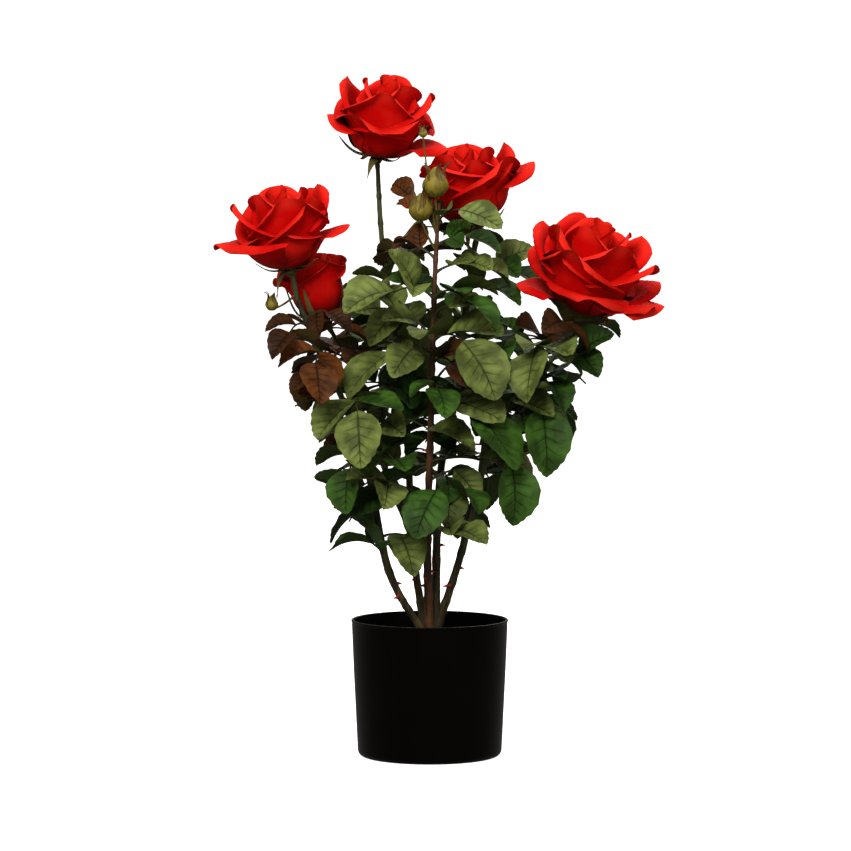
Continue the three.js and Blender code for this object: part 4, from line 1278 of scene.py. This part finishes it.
def model_pot(sizes):
    """The pot's foot, slightly flared wall, rounded rim and inside."""
    def wall(z):
        return wall_radius(sizes, z)

    top, rim, thick = sizes.height / MM, sizes.rim / MM, sizes.wall / MM
    profile = [(44, 0.8), (46, 0), (wall(0) - 6, 0)]
    for a in (math.pi / 2 * k / 6 for k in range(1, 7)):
        profile.append((wall(6) - 6 * (1 - math.sin(a)), 6 * (1 - math.cos(a))))
    profile += [(wall(z), z) for z in (20, 50, 80)] + [(wall(top - 6) - 0.3, top - 6), (wall(top - 3) - 0.5, top - 3)]
    profile += [(rim - 0.4, top - 2.2), (rim, top - 1.6), (rim, top - 0.7), (rim - 0.4, top - 0.15)]
    profile += [(rim - 1.1, top), (rim - 1.9, top - 0.2), (rim - 2.4, top - 0.8)]
    profile += [(wall(z) - thick, z) for z in (118, 80, 40)]
    profile += [(wall(4) - thick - 1, 4), (wall(2) - thick - 3.5, 1.9), (30, 1.9), (4, 1.9)]
    pot = turned("plastic_pot", profile)
    pot.data.materials.append(pot_finish("pot_plastic", tuple(sizes.tint), tuple(sizes.scuff)))
    hand_over(pot, "pot", "pot")


def model_filling(sizes):
    """The crumbly filling with its uneven top."""
    inside = sizes.wall / MM + 0.4
    fill = sizes.fill / MM
    profile = [(wall_radius(sizes, z) - inside, z) for z in (4, 40, 80, fill - 4)]
    top = wall_radius(sizes, fill) - inside
    profile.append((top - 1.5, fill - 1.2))
    profile += [(top * k, fill + 0.6 * math.sin(9 * k)) for k in np.linspace(0.96, 0.03, 28)]
    filling = turned("potting_surface", profile, sides=96)
    group = filling.vertex_groups.new(name="surface")
    group.add([v.index for v in filling.data.vertices if v.co.z > sizes.fill - 0.0018], 1.0, "ADD")
    relief(filling, grain_size=0.006, strength=0.004, group="surface", middle=0.6)
    filling.data.materials.append(filling_finish("filling_grit", tuple(sizes.fill_tint), tuple(sizes.crumb)))
    hand_over(filling, "potting_fill", "potting_fill")


# ---- stage ----
# Each lamp's place and size in metres; its power is a setting of the same name.
LAMPS = {
    "key": ((-0.6, -2.5, 2.1), 1.2),
    "fill": ((1.9, -2.2, 1.3), 1.6),
    "top": ((0.3, 0.5, 2.6), 1.4),
    "back": ((0.6, 2.5, 1.9), 1.6),
}
LAMP_TINT = (1.0, 0.98, 0.93)
STUDIO_TINT = (1.0, 0.97, 0.90, 1)
ROOM = 12
# The camera's place in metres and how far its view sinks over one metre, then its focal
# length and the render's width in pixels, and its sensor's width in millimetres.
CAMERA_SPOT, CAMERA_DROP = (-0.0038, -3.6, 0.5283), 0.0636
FOCAL_PIXELS, RENDER_PIXELS, SENSOR = 4000, 851, 36


def model_stage(looks):
    """The pale floor and backdrop, the studio lamps and the camera."""
    bpy.ops.object.select_all(action="DESELECT")
    bpy.ops.mesh.primitive_circle_add(vertices=96, radius=ROOM, fill_type="NGON", location=(0, 0, 0))
    floor = bpy.context.object
    floor.name = "floor"
    floor.data.materials.append(stage_finish("floor_pale", tuple(looks.tint), looks.floor_glow))
    bpy.ops.object.select_all(action="DESELECT")
    bpy.ops.mesh.primitive_uv_sphere_add(segments=48, ring_count=24, radius=ROOM, location=(0, 0, 0))
    backdrop = bpy.context.object
    backdrop.name = "backdrop"
    backdrop.data.materials.append(stage_finish("backdrop_white", tuple(looks.tint), 1.0))
    for thing in (floor, backdrop):
        thing.visible_diffuse = thing.visible_glossy = thing.visible_shadow = False
    for name, (spot, size) in LAMPS.items():
        aim = (Vector((0, 0, 0.35)) - Vector(spot)).to_track_quat("-Z", "Y").to_euler()
        bpy.ops.object.light_add(type="AREA", radius=size, location=spot, rotation=aim)
        lamp = bpy.context.object
        lamp.name = lamp.data.name = name
        lamp.data.energy, lamp.data.size, lamp.data.color = getattr(looks, name), size, LAMP_TINT
    world = bpy.data.worlds.new("studio")
    bpy.context.scene.world = world
    world.use_nodes = True
    light = world.node_tree.nodes["Background"].inputs
    light["Color"].default_value, light["Strength"].default_value = STUDIO_TINT, looks.studio
    bpy.ops.object.camera_add(location=CAMERA_SPOT, rotation=(math.pi / 2 - math.atan(CAMERA_DROP), 0, 0))
    camera = bpy.context.object
    camera.name = "camera"
    camera.data.sensor_width, camera.data.lens = SENSOR, SENSOR * FOCAL_PIXELS / RENDER_PIXELS
    camera.data.clip_start, camera.data.clip_end = 0.1, 100
    bpy.context.scene.camera = camera
    bpy.context.scene.view_settings.view_transform = "Standard"


# ---- sizes and colours that a user may change ----
def length(name, description, default):
    return FloatProperty(name=name, description=description, default=default, min=0, precision=4,
                         subtype="DISTANCE", unit="LENGTH")


def colour(name, description, default):
    return FloatVectorProperty(name=name, description=description, default=default, min=0, max=1,
                               size=3, subtype="COLOR")


def strength(name, description, default, unit="NONE"):
    return FloatProperty(name=name, description=description, default=default, min=0, unit=unit)


class RosePot(PropertyGroup):
    """The pot and its filling."""
    foot: length("Foot radius", "Radius of the pot at the ground", 0.065)
    rim: length("Rim radius", "Radius of the pot at its rim", 0.071)
    height: length("Height", "Height of the pot", 0.124)
    wall: length("Wall", "Thickness of the pot's wall", 0.0025)
    fill: length("Filling", "Height of the filling above the ground", 0.108)
    tint: colour("Plastic", "Colour of the pot", (0.0008, 0.0006, 0.0004))
    scuff: colour("Scuffs", "Colour of the faint scuffs", (0.006, 0.005, 0.004))
    fill_tint: colour("Filling colour", "Colour of the filling", (0.022, 0.016, 0.011))
    crumb: colour("Crumbs", "Colour of the pale crumbs in the filling", (0.09, 0.075, 0.05))


class RoseCanes(PropertyGroup):
    """The canes and their thorns."""
    ring: length("Ring spacing", "Distance between the rings that a cane is drawn out of", 0.0028)
    joint: length("Joints", "How far the leaf joints swell", 0.00055)
    relief: length("Bark relief", "Depth of the bark's grain", 0.0007)
    thorn: length("Thorns", "Length of a thorn", 0.006)
    stub: length("Stub", "Length of the cut stub on the right cane", 0.026)
    low: colour("Lower bark", "Colour of the canes near the pot", (0.048, 0.032, 0.007))
    high: colour("Upper bark", "Colour of the canes near the blooms", (0.052, 0.062, 0.015))
    fleck: colour("Flecks", "Colour of the bark's pale flecks", (0.17, 0.14, 0.045))
    front: colour("Front cane", "Colour of the reddish front cane", (0.090, 0.034, 0.011))
    thorn_tint: colour("Thorn colour", "Colour of the thorns", (0.30, 0.018, 0.008))


class RoseLeaves(PropertyGroup):
    """The leaves and their twigs."""
    thickness: length("Thickness", "Thickness of a leaf", 0.0005)
    twig: length("Twigs", "Thickness of a twig at its tip", 0.0017)
    olive: colour("Olive", "Colour of the palest leaves", (0.142, 0.184, 0.040))
    green: colour("Green", "Colour of the bright green leaves", (0.039, 0.102, 0.010))
    deep: colour("Deep green", "Colour of the darkest leaves", (0.020, 0.058, 0.004))
    bronze: colour("Bronze", "Colour of the young leaves", (0.104, 0.029, 0.003))
    maroon: colour("Maroon", "Colour of the dark young leaves", (0.050, 0.016, 0.003))
    underside: colour("Underside", "Grey green that the undersides lean to", (0.04, 0.052, 0.010))
    stalk: colour("Twig colour", "Colour of the twigs", (0.048, 0.046, 0.012))


class RoseBlooms(PropertyGroup):
    """The blooms and buds."""
    thickness: length("Petal thickness", "Thickness of a petal", 0.0005)
    roll: length("Rolled rims", "Radius of the petals' rolled rims", 0.0056)
    sepal: length("Sepals", "Length of a sepal", 0.034)
    body: colour("Petals", "Colour of the petals", (0.54, 0.0005, 0.0004))
    # The rim colour is the painted highlight along the petals' rolled rims.
    rim: colour("Rims", "Colour of the petals' rims", (0.88, 0.030, 0.015))
    # The petal feet colour is painted shade deep inside the blooms.
    foot: colour("Petal feet", "Colour deep inside the blooms", (0.13, 0.0, 0.0))
    sepal_tint: colour("Sepals", "Colour of the sepals", (0.085, 0.080, 0.018))
    sepal_tip: colour("Sepal tips", "Colour of the sepals' tips", (0.19, 0.13, 0.03))
    bud_tint: colour("Buds", "Colour of the unopened buds", (0.235, 0.180, 0.014))


class RoseStage(PropertyGroup):
    """The stage's light."""
    tint: colour("Paper", "Colour of floor and backdrop", (0.9, 0.9, 0.9))
    floor_glow: strength("Floor glow", "Light that the floor gives off", 0.95)
    studio: strength("Studio glow", "Even light from all round", 0.28)
    key: strength("Key lamp", "Power of the main lamp", 84, "POWER")
    fill: strength("Fill lamp", "Power of the lamp that opens the shadows", 14, "POWER")
    top: strength("Top lamp", "Power of the lamp overhead", 30, "POWER")
    back: strength("Back lamp", "Power of the lamp behind the plant", 26, "POWER")


# ---- operators ----
class ROSE_OT_stage(Operator):
    """Sets the floor, the backdrop, the lamps and the camera"""
    bl_idname = "rose.stage"
    bl_label = "Stage"

    def execute(self, context):
        model_stage(context.scene.rose_stage)
        return {"FINISHED"}


class ROSE_OT_pot(Operator):
    """Models the plastic pot"""
    bl_idname = "rose.pot"
    bl_label = "Pot"

    def execute(self, context):
        model_pot(context.scene.rose_pot)
        return {"FINISHED"}


class ROSE_OT_filling(Operator):
    """Models the filling of the pot"""
    bl_idname = "rose.filling"
    bl_label = "Filling"

    def execute(self, context):
        model_filling(context.scene.rose_pot)
        return {"FINISHED"}


class ROSE_OT_canes(Operator):
    """Models the canes with their bark"""
    bl_idname = "rose.canes"
    bl_label = "Canes"

    def execute(self, context):
        model_canes(context.scene.rose_canes)
        return {"FINISHED"}


class ROSE_OT_thorns(Operator):
    """Models the thorns on the canes"""
    bl_idname = "rose.thorns"
    bl_label = "Thorns"

    def execute(self, context):
        model_thorns(context.scene.rose_canes)
        return {"FINISHED"}


class ROSE_OT_leaves(Operator):
    """Grows the leaves of every spray"""
    bl_idname = "rose.leaves"
    bl_label = "Leaves"

    def execute(self, context):
        model_leaves(context.scene.rose_leaves)
        return {"FINISHED"}


class ROSE_OT_twigs(Operator):
    """Grows the twigs of every spray"""
    bl_idname = "rose.twigs"
    bl_label = "Twigs"

    def execute(self, context):
        model_twigs(context.scene.rose_leaves)
        return {"FINISHED"}


class ROSE_OT_petals(Operator):
    """Models the petals of the blooms"""
    bl_idname = "rose.petals"
    bl_label = "Petals"

    def execute(self, context):
        model_petals(context.scene.rose_blooms)
        return {"FINISHED"}


class ROSE_OT_sepals(Operator):
    """Models the sepals and hips under the blooms"""
    bl_idname = "rose.sepals"
    bl_label = "Sepals and hips"

    def execute(self, context):
        model_sepals(context.scene.rose_blooms)
        model_hips(context.scene.rose_blooms)
        return {"FINISHED"}


class ROSE_OT_buds(Operator):
    """Models the unopened buds"""
    bl_idname = "rose.buds"
    bl_label = "Buds"

    def execute(self, context):
        model_buds(context.scene.rose_blooms)
        return {"FINISHED"}


class ROSE_PT_bush(Panel):
    """Lists the rose bush's pieces, sizes and colours"""
    bl_idname = "ROSE_PT_bush"
    bl_label = "Rose bush"
    bl_space_type = "VIEW_3D"
    bl_region_type = "UI"
    bl_category = "Rose bush"

    def draw(self, context):
        for group, operators in PIECES.items():
            box = self.layout.box()
            for operator in operators:
                box.operator(operator.bl_idname)
            settings = getattr(context.scene, group)
            for name in type(settings).__annotations__:
                box.prop(settings, name)


GROUPS = {
    "rose_stage": RoseStage,
    "rose_pot": RosePot,
    "rose_canes": RoseCanes,
    "rose_leaves": RoseLeaves,
    "rose_blooms": RoseBlooms,
}
PIECES = {
    "rose_stage": (ROSE_OT_stage,),
    "rose_pot": (ROSE_OT_pot, ROSE_OT_filling),
    "rose_canes": (ROSE_OT_canes, ROSE_OT_thorns),
    "rose_leaves": (ROSE_OT_leaves, ROSE_OT_twigs),
    "rose_blooms": (ROSE_OT_petals, ROSE_OT_sepals, ROSE_OT_buds),
}
CLASSES = (*GROUPS.values(), *(operator for operators in PIECES.values() for operator in operators), ROSE_PT_bush)


def register():
    for each in CLASSES:
        bpy.utils.register_class(each)
    for name, group in GROUPS.items():
        setattr(bpy.types.Scene, name, PointerProperty(type=group))


def unregister():
    for name in GROUPS:
        delattr(bpy.types.Scene, name)
    for each in reversed(CLASSES):
        bpy.utils.unregister_class(each)


def main():
    register()
    rose = bpy.ops.rose
    for model in (rose.stage, rose.pot, rose.filling, rose.canes, rose.thorns, rose.leaves, rose.twigs, rose.petals,
                  rose.sepals, rose.buds):
        model()


if __name__ == "__main__":
    main()
